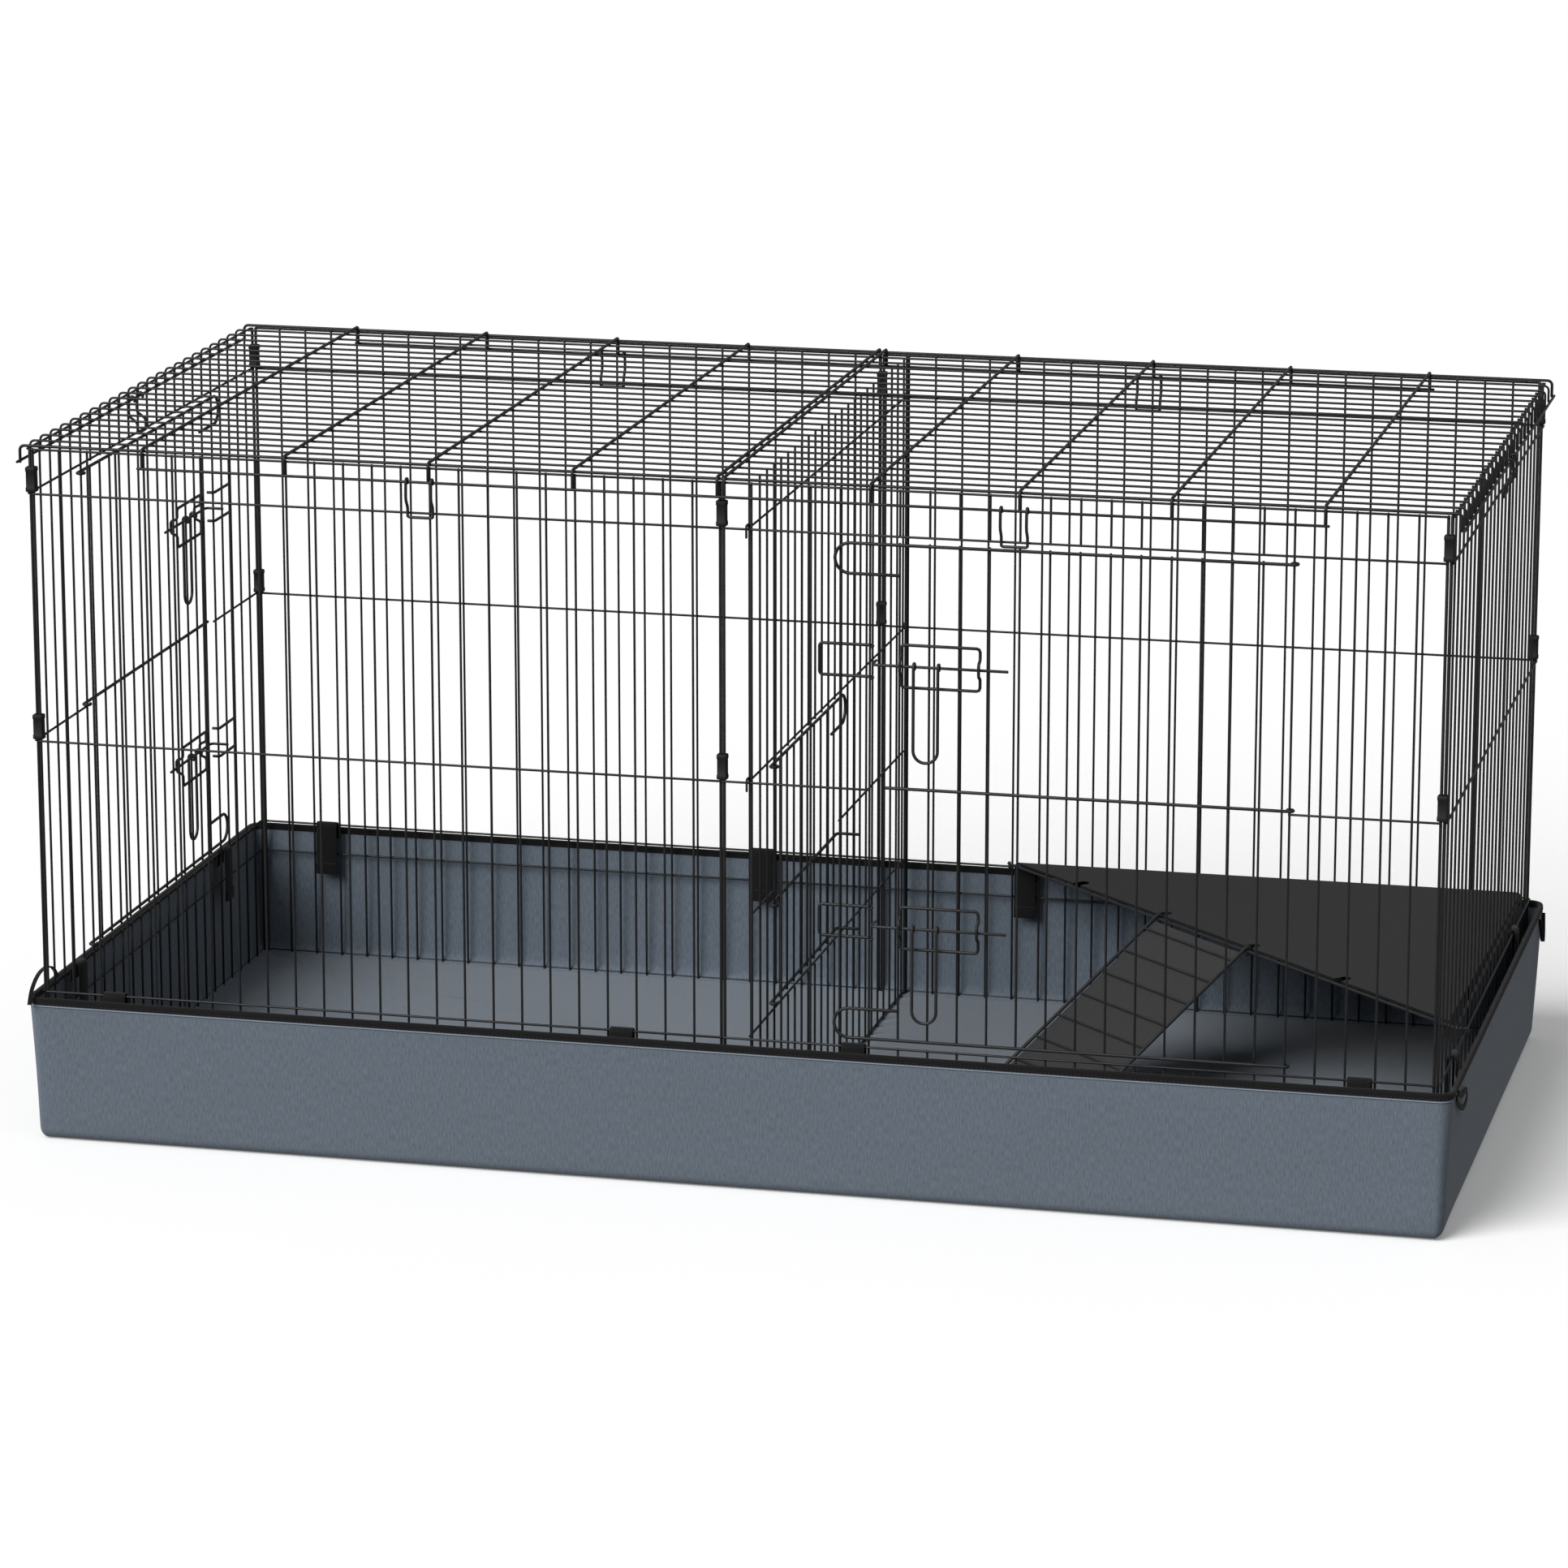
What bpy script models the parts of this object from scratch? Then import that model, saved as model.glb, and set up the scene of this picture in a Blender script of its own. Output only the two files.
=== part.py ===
"""Wire rabbit cage: six clipped wire panels and a hooked-in divider stand in a fabric tray, under a wire lid.

X runs along the length, Y is the depth with the front at -Y, and Z is up from the tray's underside.
Sizes below are in millimetres and become metres where the meshes are made.
A wire is a four-sided tube, so that crossing wires weld ridge to ridge.
"""

import math

import bmesh
import bpy
from mathutils import Matrix, Vector

MM = 0.001

# The cage
PITCH = 25.0
HALF_LENGTH = 600.0
HALF_DEPTH = 300.0
PANEL_HALF = 300.0
TOP_WIRE_Z = 605.2
LEVEL_Z = (567.0, 352.5, 131.0, 102.5)
HIGH_Z, MIDDLE_Z, RIM_Z, LOW_Z = LEVEL_Z
BOTTOM_WIRE_Z = 4.6
UPRIGHT_TOP_Z = 606.2
UPRIGHT_BOTTOM_Z = 3.5
END_PANEL_X = 601.4
EDGE_UPRIGHT = 298.5
LEVEL_END = 299.6

# Wires
THIN = 2.0
EDGE = 2.4
BAR = 2.8
LATCH_WIRE = 2.4
BOLT_WIRE = 2.5
WELDED_Y = -1.6
CLEAR_Y = -2.05
GAP = 0.3
INTO_WELD = 1.0
WIRE_SIDES_RESOLUTION = 0
BEND_STEPS = 3
MERGE_DISTANCE = 1e-6

# Doors: places along a panel, measured from its middle
DOOR_HINGE = 175.0
DOOR_KEEPER = -175.0
DOOR_BARS_Z = (560.2, 355.4, 139.0)
DOOR_UPRIGHT_Y = -0.9
DOOR_BAR_Y = -3.0
DOOR_BAR_OVERHANG = 11.5
DOOR_TOP_REACH = 1.7
DOOR_FOOT_REACH = 2.0
RING_RADIUS = 3.0
RING_TURN = 240.0
RING_STEPS = 6
CURL_REACH = 54.0
CURL_RADIUS = 12.7
CURL_STEPS = 6

# Divider and its door: places along its own length, which runs from the back to the front
DIVIDER_X = 23.7
DIVIDER_EDGE = 296.8
DIVIDER_OFFSET = -9.0
DIVIDER_BARS_EACH_WAY = 11
DIVIDER_HINGE = 216.0
DIVIDER_KEEPER = -34.0
DIVIDER_SPLIT_Z = 236.0
DIVIDER_LOW_Z = 132.0
DIVIDER_DOOR_BARS_Z = (345.7, 225.0, 138.5)
DIVIDER_TIP = -31.0
DIVIDER_TIP_DEPTH = 17.0
DIVIDER_LEVEL_TIP = 0.2
DIVIDER_HOOK_RUN, DIVIDER_HOOK_RISE = 3.0, 3.6
DIVIDER_HOOK_OUT = 5.4
DIVIDER_HOOK_DROP = 7.0

# Latches: places measured from the keeper's upright, heights from the bolt
LATCH_Z = (459.7, 237.0)
BOLT_Y = -6.2
BOLT_TIP = 3.0
BOLT_END = 117.3
BOLT_TIP_DEPTH = 17.0
BOLT_BEND = 4.0
KEEPER_BACK = -43.0
KEEPER_FRONT = 2.6
KEEPER_Y = 1.9
KEEPER_PRONG_Y = -5.0
KEEPER_UP, KEEPER_DOWN = 14.6, -12.0
KEEPER_BEND = 3.0
GUIDE_START, GUIDE_END = 27.0, 93.0
GUIDE_UP, GUIDE_DOWN = 17.3, -18.4
GUIDE_Y = -2.8
GUIDE_JOG_Y = -9.0
GUIDE_JOG_HALF, GUIDE_JOG_RAMP = 4.5, 8.5
HANDLE_EYES = (38.5, 59.0)
HANDLE_DROP = 80.0
HANDLE_BEND = 10.0
EYE_RADIUS = 2.8
EYE_TURN = 250.0
EYE_STEPS = 6

# Lid
LID_WIRE_Z = 607.6
LID_EDGE_WIRE_Z = 607.9
LID_CROSS_Z = 610.05
LID_CROSS_X = (3.0, 126.0, 250.0, 375.0, 500.0)
LID_LEG_Y = 304.4
LID_RIM_Y = 306.8
LID_RIM_Z = 594.0
LID_RIM_HALF = 504.0
LID_WIRE_END_X = 609.5
LID_END_RIM_X = 611.5
LID_END_RIM_HALF = 303.0
LID_BEND = 4.0
LID_BEND_STEPS = 1

# Lid clips
CLIP_HALF_WIDTH = 10.85
CLIP_WIRE = 2.4
CLIP_EYE_RADIUS = 2.75
CLIP_EYE_TURN = 230.0
CLIP_BOW = 0.5
CLIP_FOOT_Z = 563.8
CLIP_WAIST_Z = 571.0
CLIP_BULGE_Z = 582.0
CLIP_PLACES = {
    "lid_clip_front_left": (-257.0, -LID_RIM_Y, 0.0, 305.0),
    "lid_clip_front_right": (246.0, -LID_RIM_Y, 0.0, 305.0),
    "lid_clip_back_left": (-256.0, LID_RIM_Y, 180.0, 305.0),
    "lid_clip_back_right": (245.0, LID_RIM_Y, 180.0, 305.0),
    "lid_clip_left_end": (-LID_END_RIM_X, 0.0, -90.0, 606.7),
    "lid_clip_right_end": (LID_END_RIM_X, 0.0, 90.0, 606.7),
}

# Panel connectors
SLEEVE_HEIGHT = 21.5
SLEEVE_LIFT = 1.6
POST_SLEEVE = (9.0, 8.0, 6.0, 3.4)
CORNER_SLEEVE = (9.2, 8.6, 6.2, 4.8)
CORNER_X, CORNER_Y = 599.95, 299.3

# Tray
TRAY_TOP = (615.0, 310.4)
TRAY_FOOT = (608.5, 308.0)
TRAY_WALL = 3.0
TRAY_WALL_TOP = 121.0
TRAY_CORNER = 12.0
TRAY_CORNER_STEPS = 4
BINDING_HEIGHT = 6.0
BINDING_WIDTH = 4.6
BINDING_OUTER = (615.6, 311.0)

# Straps over the rim wires
STRAP_WIDTH = 20.0
STRAP_THICKNESS = 1.4
STRAP_TOP_Z = 134.0
STRAP_OUTER_DROP_Z = 117.0
STRAP_INNER_DROP_Z = 84.0
STRAP_OUTER = 5.6
STRAP_INNER = -3.0
STRAP_PLACES = {
    "strap_front_1": (-537.5, -HALF_DEPTH, 0.0),
    "strap_front_2": (-87.5, -HALF_DEPTH, 0.0),
    "strap_front_3": (112.5, -HALF_DEPTH, 0.0),
    "strap_front_4": (537.5, -HALF_DEPTH, 0.0),
    "strap_back_1": (-537.5, HALF_DEPTH, 180.0),
    "strap_back_2": (-112.5, HALF_DEPTH, 180.0),
    "strap_back_3": (137.5, HALF_DEPTH, 180.0),
    "strap_back_4": (537.5, HALF_DEPTH, 180.0),
    "strap_left_1": (-END_PANEL_X, 187.5, -90.0),
    "strap_left_2": (-END_PANEL_X, -212.5, -90.0),
    "strap_right_1": (END_PANEL_X, 187.5, 90.0),
    "strap_right_2": (END_PANEL_X, -212.5, 90.0),
}

# Platform and ramp
PLATFORM_WIRE = 2.6
PLATFORM_Z = 134.4
PLATFORM_START = (121.6, 298.7)
PLATFORM_BACK_X = 126.4
PLATFORM_FRONT_Y = -141.3
PLATFORM_STANDOFF = 5.7
HOOK_REACH = 4.7
HOOK_DROP = 7.0
PLATFORM_WELD = 2.0
SHEET_THICKNESS = 2.0
SHEET_BACK_OFF = 2.5
SHEET_TRIM = 12.0
SLOT_PLACES = (-190.5, -64.5, 64.5, 190.5)
SLOT_DEPTH = 11.5
SLOT_MOUTH, SLOT_FLOOR = 5.5, 4.0
RAMP_WIRE = 3.2
RUNG_WIRE = 2.2
RAMP_SLOPE = 34.0
RAMP_HOOK_RADIUS = 3.3
RAMP_HOOK_BACK = 285.0
RAMP_HOOK_STEPS = 8
RAMP_HALF_WIDTH = 64.5
RAMP_MIDDLE = 0.4556
RAMP_RUNGS = 8
RUNG_FIRST, RUNG_PITCH = 16.2, 28.8
RAMP_FOOT_Z = 4.9
RAMP_SHEET_START, RAMP_SHEET_SIDE, RAMP_SHEET_STOP = 7.0, 3.0, 6.0

# Materials: base colour, roughness, metallic
MATERIALS = {
    "black_wire": ((0.030, 0.030, 0.032), 0.42, 0.0),
    "black_plastic": ((0.020, 0.020, 0.021), 0.5, 0.0),
    "grey_fabric": ((0.140, 0.165, 0.195), 0.9, 0.0),
    "black_tape": ((0.012, 0.012, 0.012), 0.85, 0.0),
    "dark_sheet": ((0.030, 0.030, 0.032), 0.85, 0.0),
}

COLLECTION = "wire_rabbit_cage"


def start_empty():
    for obj in list(bpy.data.objects):
        bpy.data.objects.remove(obj, do_unlink=True)
    collection = bpy.data.collections.new(COLLECTION)
    bpy.context.scene.collection.children.link(collection)
    return collection


def make_material(name):
    colour, roughness, metallic = MATERIALS[name]
    material = bpy.data.materials.new(name)
    material.use_nodes = True
    shader = material.node_tree.nodes["Principled BSDF"]
    shader.inputs["Base Color"].default_value = (*colour, 1.0)
    shader.inputs["Roughness"].default_value = roughness
    shader.inputs["Metallic"].default_value = metallic
    return material


def place(name, mesh, material, location=(0, 0, 0), turn=0.0, parent=None):
    """An object made of a mesh that is drawn round its own origin, set down in the world."""
    obj = bpy.data.objects.new(name, mesh)
    bpy.data.collections[COLLECTION].objects.link(obj)
    own = mesh.copy() if mesh.materials else mesh
    obj.data = own
    own.materials.append(bpy.data.materials.get(material) or make_material(material))
    world = Matrix.Translation(Vector(location) * MM) @ Matrix.Rotation(math.radians(turn), 4, "Z")
    if parent:
        obj.parent = parent
        bpy.context.view_layer.update()
        obj.matrix_parent_inverse = parent.matrix_world.inverted()
    obj.matrix_basis = world
    bpy.context.view_layer.update()
    return obj


def rounded(points, radius, steps=BEND_STEPS):
    """The same route with each corner bent to a radius."""
    points = [Vector(p) for p in points]
    route = [points[0]]
    for before, corner, after in zip(points, points[1:], points[2:]):
        into = (corner - before).normalized()
        out = (after - corner).normalized()
        turn = into.angle(out)
        reach = radius * math.tan(turn / 2)
        start = corner - into * reach
        side = (out - into * out.dot(into)).normalized()
        centre = start + side * radius
        axis = into.cross(out).normalized()
        for k in range(steps + 1):
            spin = Matrix.Rotation(turn * k / steps, 3, axis)
            route.append(centre + spin @ (start - centre))
    route.append(points[-1])
    return route


def arc(centre, first, second, radius, start, turn, steps):
    """Points round a centre, in the plane of two unit vectors, from an angle through a turn in degrees."""
    centre, first, second = Vector(centre), Vector(first), Vector(second)
    points = []
    for k in range(steps + 1):
        angle = math.radians(start + turn * k / steps)
        points.append(centre + first * (radius * math.cos(angle)) + second * (radius * math.sin(angle)))
    return points


def wires(routes):
    """One mesh of separate closed wires, each given as its diameter, its points and whether it is a loop."""
    curve = bpy.data.curves.new("wires", "CURVE")
    curve.dimensions = "3D"
    curve.bevel_depth = MM
    curve.bevel_resolution = WIRE_SIDES_RESOLUTION
    curve.use_fill_caps = True
    for diameter, points, closed in routes:
        spline = curve.splines.new("POLY")
        spline.points.add(len(points) - 1)
        spline.use_cyclic_u = closed
        for spot, point in zip(spline.points, points):
            spot.co = (*(c * MM for c in point), 1.0)
            spot.radius = diameter / 2
    obj = bpy.data.objects.new("wires", curve)
    bpy.context.scene.collection.objects.link(obj)
    bpy.context.view_layer.update()
    mesh = bpy.data.meshes.new_from_object(obj.evaluated_get(bpy.context.evaluated_depsgraph_get()))
    bpy.data.objects.remove(obj)
    bpy.data.curves.remove(curve)
    weld(mesh)
    return mesh


def weld(mesh):
    bm = bmesh.new()
    bm.from_mesh(mesh)
    bmesh.ops.remove_doubles(bm, verts=bm.verts, dist=MERGE_DISTANCE)
    bmesh.ops.recalc_face_normals(bm, faces=bm.faces)
    bm.to_mesh(mesh)
    bm.free()


def joined(first, second):
    """The union of two meshes as one mesh."""
    pair = [bpy.data.objects.new("half", mesh) for mesh in (first, second)]
    for obj in pair:
        bpy.context.scene.collection.objects.link(obj)
    union = pair[0].modifiers.new("union", "BOOLEAN")
    union.operation = "UNION"
    union.solver = "EXACT"
    union.object = pair[1]
    bpy.context.view_layer.update()
    mesh = bpy.data.meshes.new_from_object(pair[0].evaluated_get(bpy.context.evaluated_depsgraph_get()))
    for obj in pair:
        bpy.data.objects.remove(obj)
    return mesh


def straight(diameter, start, end):
    return (diameter, [start, end], False)


def upright(x, y, low, high, diameter=THIN):
    return straight(diameter, (x, y, low), (x, y, high))


def bars_between(first, last):
    """Places one pitch apart, both ends included."""
    return [first + PITCH * k for k in range(round((last - first) / PITCH) + 1)]


# Panels ---------------------------------------------------------------------------------------------


def level(z, y=CLEAR_Y, start=-LEVEL_END, end=LEVEL_END):
    return straight(THIN, (start, y, z), (end, y, z))


def keeper(upright_x, z):
    """The C of wire welded behind the frame, whose two ends turn out past its last upright."""
    front, back = upright_x + KEEPER_FRONT, upright_x + KEEPER_BACK
    high, low = z + KEEPER_UP, z + KEEPER_DOWN
    outline = [
        (front, KEEPER_PRONG_Y, high),
        (front, KEEPER_Y, high),
        (back, KEEPER_Y, high),
        (back, KEEPER_Y, low),
        (front, KEEPER_Y, low),
        (front, KEEPER_PRONG_Y, low),
    ]
    return (LATCH_WIRE, rounded(outline, KEEPER_BEND), False)


def panel_mesh(with_door):
    """A panel seen from outside: its uprights stand at y 0 and its level wires in front of them."""
    across = [level(TOP_WIRE_Z, WELDED_Y), level(BOTTOM_WIRE_Z, WELDED_Y if with_door else CLEAR_Y)]
    across += [level(z) for z in (HIGH_Z, RIM_Z, LOW_Z)]
    up = [upright(side * EDGE_UPRIGHT, 0, UPRIGHT_BOTTOM_Z, UPRIGHT_TOP_Z, EDGE) for side in (-1, 1)]
    places = bars_between(-PANEL_HALF + PITCH, PANEL_HALF - PITCH)
    if with_door:
        across.append(level(MIDDLE_Z, end=DOOR_KEEPER + INTO_WELD))
        across.append(level(MIDDLE_Z, start=DOOR_HINGE - INTO_WELD))
        across += [keeper(DOOR_KEEPER, z) for z in LATCH_Z]
        up += [upright(x, 0, HIGH_Z, UPRIGHT_TOP_Z) for x in places if abs(x) < DOOR_HINGE]
        up += [upright(x, 0, UPRIGHT_BOTTOM_Z, RIM_Z) for x in places if abs(x) < DOOR_HINGE]
        up += [upright(x, 0, UPRIGHT_BOTTOM_Z, UPRIGHT_TOP_Z) for x in places if abs(x) >= DOOR_HINGE]
    else:
        across.append(level(MIDDLE_Z))
        up += [upright(x, 0, UPRIGHT_BOTTOM_Z, UPRIGHT_TOP_Z) for x in places]
    return joined(wires(across), wires(up))


def build_panels():
    plain, doorway = panel_mesh(False), panel_mesh(True)
    half = HALF_LENGTH - PANEL_HALF
    for name, mesh, location, turn in (
        ("panel_front_left", plain, (-half, -HALF_DEPTH, 0), 0),
        ("panel_front_right", doorway, (half, -HALF_DEPTH, 0), 0),
        ("panel_back_left", plain, (-half, HALF_DEPTH, 0), 180),
        ("panel_back_right", plain, (half, HALF_DEPTH, 0), 180),
        ("panel_left_end", doorway, (-END_PANEL_X, 0, 0), -90),
        ("panel_right_end", plain, (END_PANEL_X, 0, 0), 90),
    ):
        place(name, mesh, "black_wire", location, turn)


# Doors ----------------------------------------------------------------------------------------------


def hinge_ring(z):
    """The open ring at a bar's end, round the hinge upright at x 0."""
    return arc((0, 0, z), (1, 0, 0), (0, 1, 0), RING_RADIUS, -90, RING_TURN, RING_STEPS)


def curl(free_x, z, rise):
    """A bar's free end, bent round and back to the door's last upright, up for rise 1 and down for -1."""
    centre = (free_x - CURL_REACH + CURL_RADIUS, DOOR_BAR_Y, z + rise * CURL_RADIUS)
    bend = arc(centre, (1, 0, 0), (0, 0, rise), CURL_RADIUS, 90, 180, CURL_STEPS)
    end = (free_x + INTO_WELD, DOOR_BAR_Y, z + 2 * rise * CURL_RADIUS)
    return [Vector(end)] + bend


def door_bar(free_end, z):
    """A bar from its free end to its ring."""
    return (BAR, [Vector(p) for p in free_end] + hinge_ring(z), False)


def guide(start, z):
    """The loop the bolt slides behind, bowed out at the bolt's height on its two short sides."""
    end = start + GUIDE_END - GUIDE_START
    outline = [(start, GUIDE_Y, z + GUIDE_DOWN), (end, GUIDE_Y, z + GUIDE_DOWN)]
    outline += jog(end, z, 1)
    outline += [(end, GUIDE_Y, z + GUIDE_UP), (start, GUIDE_Y, z + GUIDE_UP)]
    outline += jog(start, z, -1)
    return (LATCH_WIRE, outline, True)


def jog(x, z, way):
    steps = [(-GUIDE_JOG_RAMP, GUIDE_Y), (-GUIDE_JOG_HALF, GUIDE_JOG_Y)]
    steps += [(GUIDE_JOG_HALF, GUIDE_JOG_Y), (GUIDE_JOG_RAMP, GUIDE_Y)]
    return [(x, y, z + rise) for rise, y in steps[::way]]


def door_mesh():
    """A door with its hinge upright at x 0 and its free side towards -x."""
    width = DOOR_HINGE - DOOR_KEEPER
    free = PITCH - width
    top, middle, bottom = DOOR_BARS_Z
    across = [
        door_bar(curl(free, top, -1), top),
        door_bar([(free - DOOR_BAR_OVERHANG, DOOR_BAR_Y, middle)], middle),
        door_bar(curl(free, bottom, 1), bottom),
    ]
    across += [guide(GUIDE_START - width, z) for z in LATCH_Z]
    low, high = bottom - DOOR_FOOT_REACH, top + DOOR_TOP_REACH
    up = [upright(x, DOOR_UPRIGHT_Y, low, high) for x in bars_between(free, -PITCH)]
    return joined(wires(across), wires(up))


def bolt_mesh():
    """A bolt on its own axis, with x 0 at the keeper's upright and its tip bent inwards."""
    route = rounded([(BOLT_TIP, BOLT_TIP_DEPTH, 0), (BOLT_TIP, 0, 0), (BOLT_END, 0, 0)], BOLT_BEND)
    return wires([(BOLT_WIRE, route, False)])


def handle_mesh():
    """A U of wire whose two ends curl round the bolt's axis, hanging down."""
    left, right = HANDLE_EYES
    eye = arc((0, 0, 0), (0, -1, 0), (0, 0, 1), EYE_RADIUS, EYE_TURN, -EYE_TURN, EYE_STEPS)
    eyes = [[p + Vector((x, 0, 0)) for p in eye] for x in HANDLE_EYES]
    bottom = rounded(
        [
            (left, -EYE_RADIUS, -GAP),
            (left, -EYE_RADIUS, -HANDLE_DROP),
            (right, -EYE_RADIUS, -HANDLE_DROP),
            (right, -EYE_RADIUS, -GAP),
        ],
        HANDLE_BEND,
    )
    return wires([(LATCH_WIRE, eyes[0] + bottom[1:-1] + eyes[1][::-1], False)])


def build_doors():
    door, bolt, handle = door_mesh(), bolt_mesh(), handle_mesh()
    for side, turn, middle in (
        ("front", 0, Vector((HALF_LENGTH - PANEL_HALF, -HALF_DEPTH, 0))),
        ("left", -90, Vector((-END_PANEL_X, 0, 0))),
    ):
        spin = Matrix.Rotation(math.radians(turn), 3, "Z")
        hinge = middle + spin @ Vector((DOOR_HINGE, 0, 0))
        panel = place(f"door_{side}", door, "black_wire", hinge, turn)
        for which, z in zip(("upper", "lower"), LATCH_Z):
            axis = middle + spin @ Vector((DOOR_KEEPER, BOLT_Y, z))
            slider = place(f"bolt_{side}_{which}", bolt, "black_wire", axis, turn, panel)
            place(f"handle_{side}_{which}", handle, "black_wire", axis, turn, slider)


# Divider --------------------------------------------------------------------------------------------


def hooked_level(z, y):
    """A level wire whose two ends step up and hook down outside the front and back panels."""
    end, out = DIVIDER_EDGE - INTO_WELD, HALF_DEPTH + DIVIDER_HOOK_OUT
    side = [(end, z), (end + DIVIDER_HOOK_RUN, z + DIVIDER_HOOK_RISE)]
    side += [(out, z + DIVIDER_HOOK_RISE), (out, z - DIVIDER_HOOK_DROP)]
    return (THIN, [(-x, y, h) for x, h in side[::-1]] + [(x, y, h) for x, h in side], False)


def divider_mesh():
    up = [upright(side * DIVIDER_EDGE, 0, UPRIGHT_BOTTOM_Z, TOP_WIRE_Z, EDGE) for side in (-1, 1)]
    gate = []
    reach = DIVIDER_BARS_EACH_WAY * PITCH
    for x in bars_between(DIVIDER_OFFSET - reach, DIVIDER_OFFSET + reach):
        if DIVIDER_KEEPER < x < DIVIDER_HINGE:
            gate.append(x)
        else:
            up.append(upright(x, 0, UPRIGHT_BOTTOM_Z, TOP_WIRE_Z))
    up += [upright(x, 0, MIDDLE_Z, TOP_WIRE_Z) for x in gate]
    up += [upright(x, 0, UPRIGHT_BOTTOM_Z, DIVIDER_LOW_Z) for x in gate]
    end = DIVIDER_EDGE + DIVIDER_LEVEL_TIP
    across = [
        hooked_level(HIGH_Z, WELDED_Y),
        hooked_level(MIDDLE_Z, CLEAR_Y),
        level(DIVIDER_SPLIT_Z, CLEAR_Y, -end, DIVIDER_KEEPER + INTO_WELD),
        level(DIVIDER_SPLIT_Z, CLEAR_Y, DIVIDER_HINGE - INTO_WELD, end),
        level(DIVIDER_LOW_Z, CLEAR_Y, -end, end),
        level(BOTTOM_WIRE_Z, WELDED_Y, -end, end),
    ]
    return joined(wires(across), wires(up))


def divider_door_mesh():
    """The small door, with its hinge upright at x 0: two of its bars end in tips bent through the frame."""
    free = DIVIDER_KEEPER - DIVIDER_HINGE + PITCH
    top, middle, bottom = DIVIDER_DOOR_BARS_Z
    tip = DIVIDER_TIP - DIVIDER_HINGE
    across = [door_bar(curl(free, top, -1), top)]
    for z in (middle, bottom):
        bent = rounded([(tip, DIVIDER_TIP_DEPTH, z), (tip, DOOR_BAR_Y, z), (free, DOOR_BAR_Y, z)], BOLT_BEND)
        across.append(door_bar(bent, z))
    low, high = bottom - DOOR_FOOT_REACH, top + DOOR_TOP_REACH
    up = [upright(x, DOOR_UPRIGHT_Y, low, high) for x in bars_between(free, -PITCH)]
    return joined(wires(across), wires(up))


def build_divider():
    place("divider", divider_mesh(), "black_wire", (DIVIDER_X, 0, 0), -90)
    place("door_divider", divider_door_mesh(), "black_wire", (DIVIDER_X, -DIVIDER_HINGE, 0), -90)


# Lid ------------------------------------------------------------------------------------------------


def lid_mesh():
    """Long wires weld to the end rims, and cross wires to the side rims and the outer long wires."""
    crossing = []
    for x in [side * x for side in (-1, 1) for x in LID_CROSS_X]:
        outline = [
            (x, -LID_LEG_Y, LID_RIM_Z - INTO_WELD),
            (x, -LID_LEG_Y, LID_CROSS_Z),
            (x, LID_LEG_Y, LID_CROSS_Z),
            (x, LID_LEG_Y, LID_RIM_Z - INTO_WELD),
        ]
        crossing.append((BAR, rounded(outline, LID_BEND, LID_BEND_STEPS), False))
    for side in (-1, 1):
        x = side * LID_END_RIM_X
        crossing.append(straight(EDGE, (x, -LID_END_RIM_HALF, LID_RIM_Z), (x, LID_END_RIM_HALF, LID_RIM_Z)))
    along = []
    for y in bars_between(-HALF_DEPTH, HALF_DEPTH):
        z = LID_EDGE_WIRE_Z if abs(y) == HALF_DEPTH else LID_WIRE_Z
        outline = [
            (-LID_WIRE_END_X, y, LID_RIM_Z - INTO_WELD),
            (-LID_WIRE_END_X, y, z),
            (LID_WIRE_END_X, y, z),
            (LID_WIRE_END_X, y, LID_RIM_Z - INTO_WELD),
        ]
        along.append((THIN, rounded(outline, LID_BEND, LID_BEND_STEPS), False))
    for side in (-1, 1):
        y = side * LID_RIM_Y
        along.append(straight(EDGE, (-LID_RIM_HALF, y, LID_RIM_Z), (LID_RIM_HALF, y, LID_RIM_Z)))
    return joined(wires(crossing), wires(along))


def clip_mesh(inset):
    """A clip with the rim wire at its origin: two eyes, two bowed legs and the foot that holds the frame."""
    eye = arc((0, 0, 0), (0, -1, 0), (0, 0, 1), CLIP_EYE_RADIUS, CLIP_EYE_TURN, -CLIP_EYE_TURN, EYE_STEPS)
    half = [
        *eye,
        Vector((0, -CLIP_EYE_RADIUS - CLIP_BOW, CLIP_BULGE_Z - LID_RIM_Z)),
        Vector((0, inset, CLIP_WAIST_Z - LID_RIM_Z)),
        Vector((0, inset, CLIP_FOOT_Z - LID_RIM_Z)),
    ]
    left = [p + Vector((-CLIP_HALF_WIDTH, 0, 0)) for p in half]
    right = [p + Vector((CLIP_HALF_WIDTH, 0, 0)) for p in half]
    return wires([(CLIP_WIRE, left + right[::-1], False)])


def build_lid():
    lid = place("lid", lid_mesh(), "black_wire")
    for name, (x, y, turn, foot) in CLIP_PLACES.items():
        rim = LID_RIM_Y if abs(y) > 0 else LID_END_RIM_X
        place(name, clip_mesh(rim - foot), "black_wire", (x, y, LID_RIM_Z), turn, lid)


# Connectors -----------------------------------------------------------------------------------------


def box_mesh(size):
    bm = bmesh.new()
    bmesh.ops.create_cube(bm, size=1.0, matrix=Matrix.Diagonal((*(s * MM for s in size), 1.0)))
    mesh = bpy.data.meshes.new("box")
    bm.to_mesh(mesh)
    bm.free()
    return mesh


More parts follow.
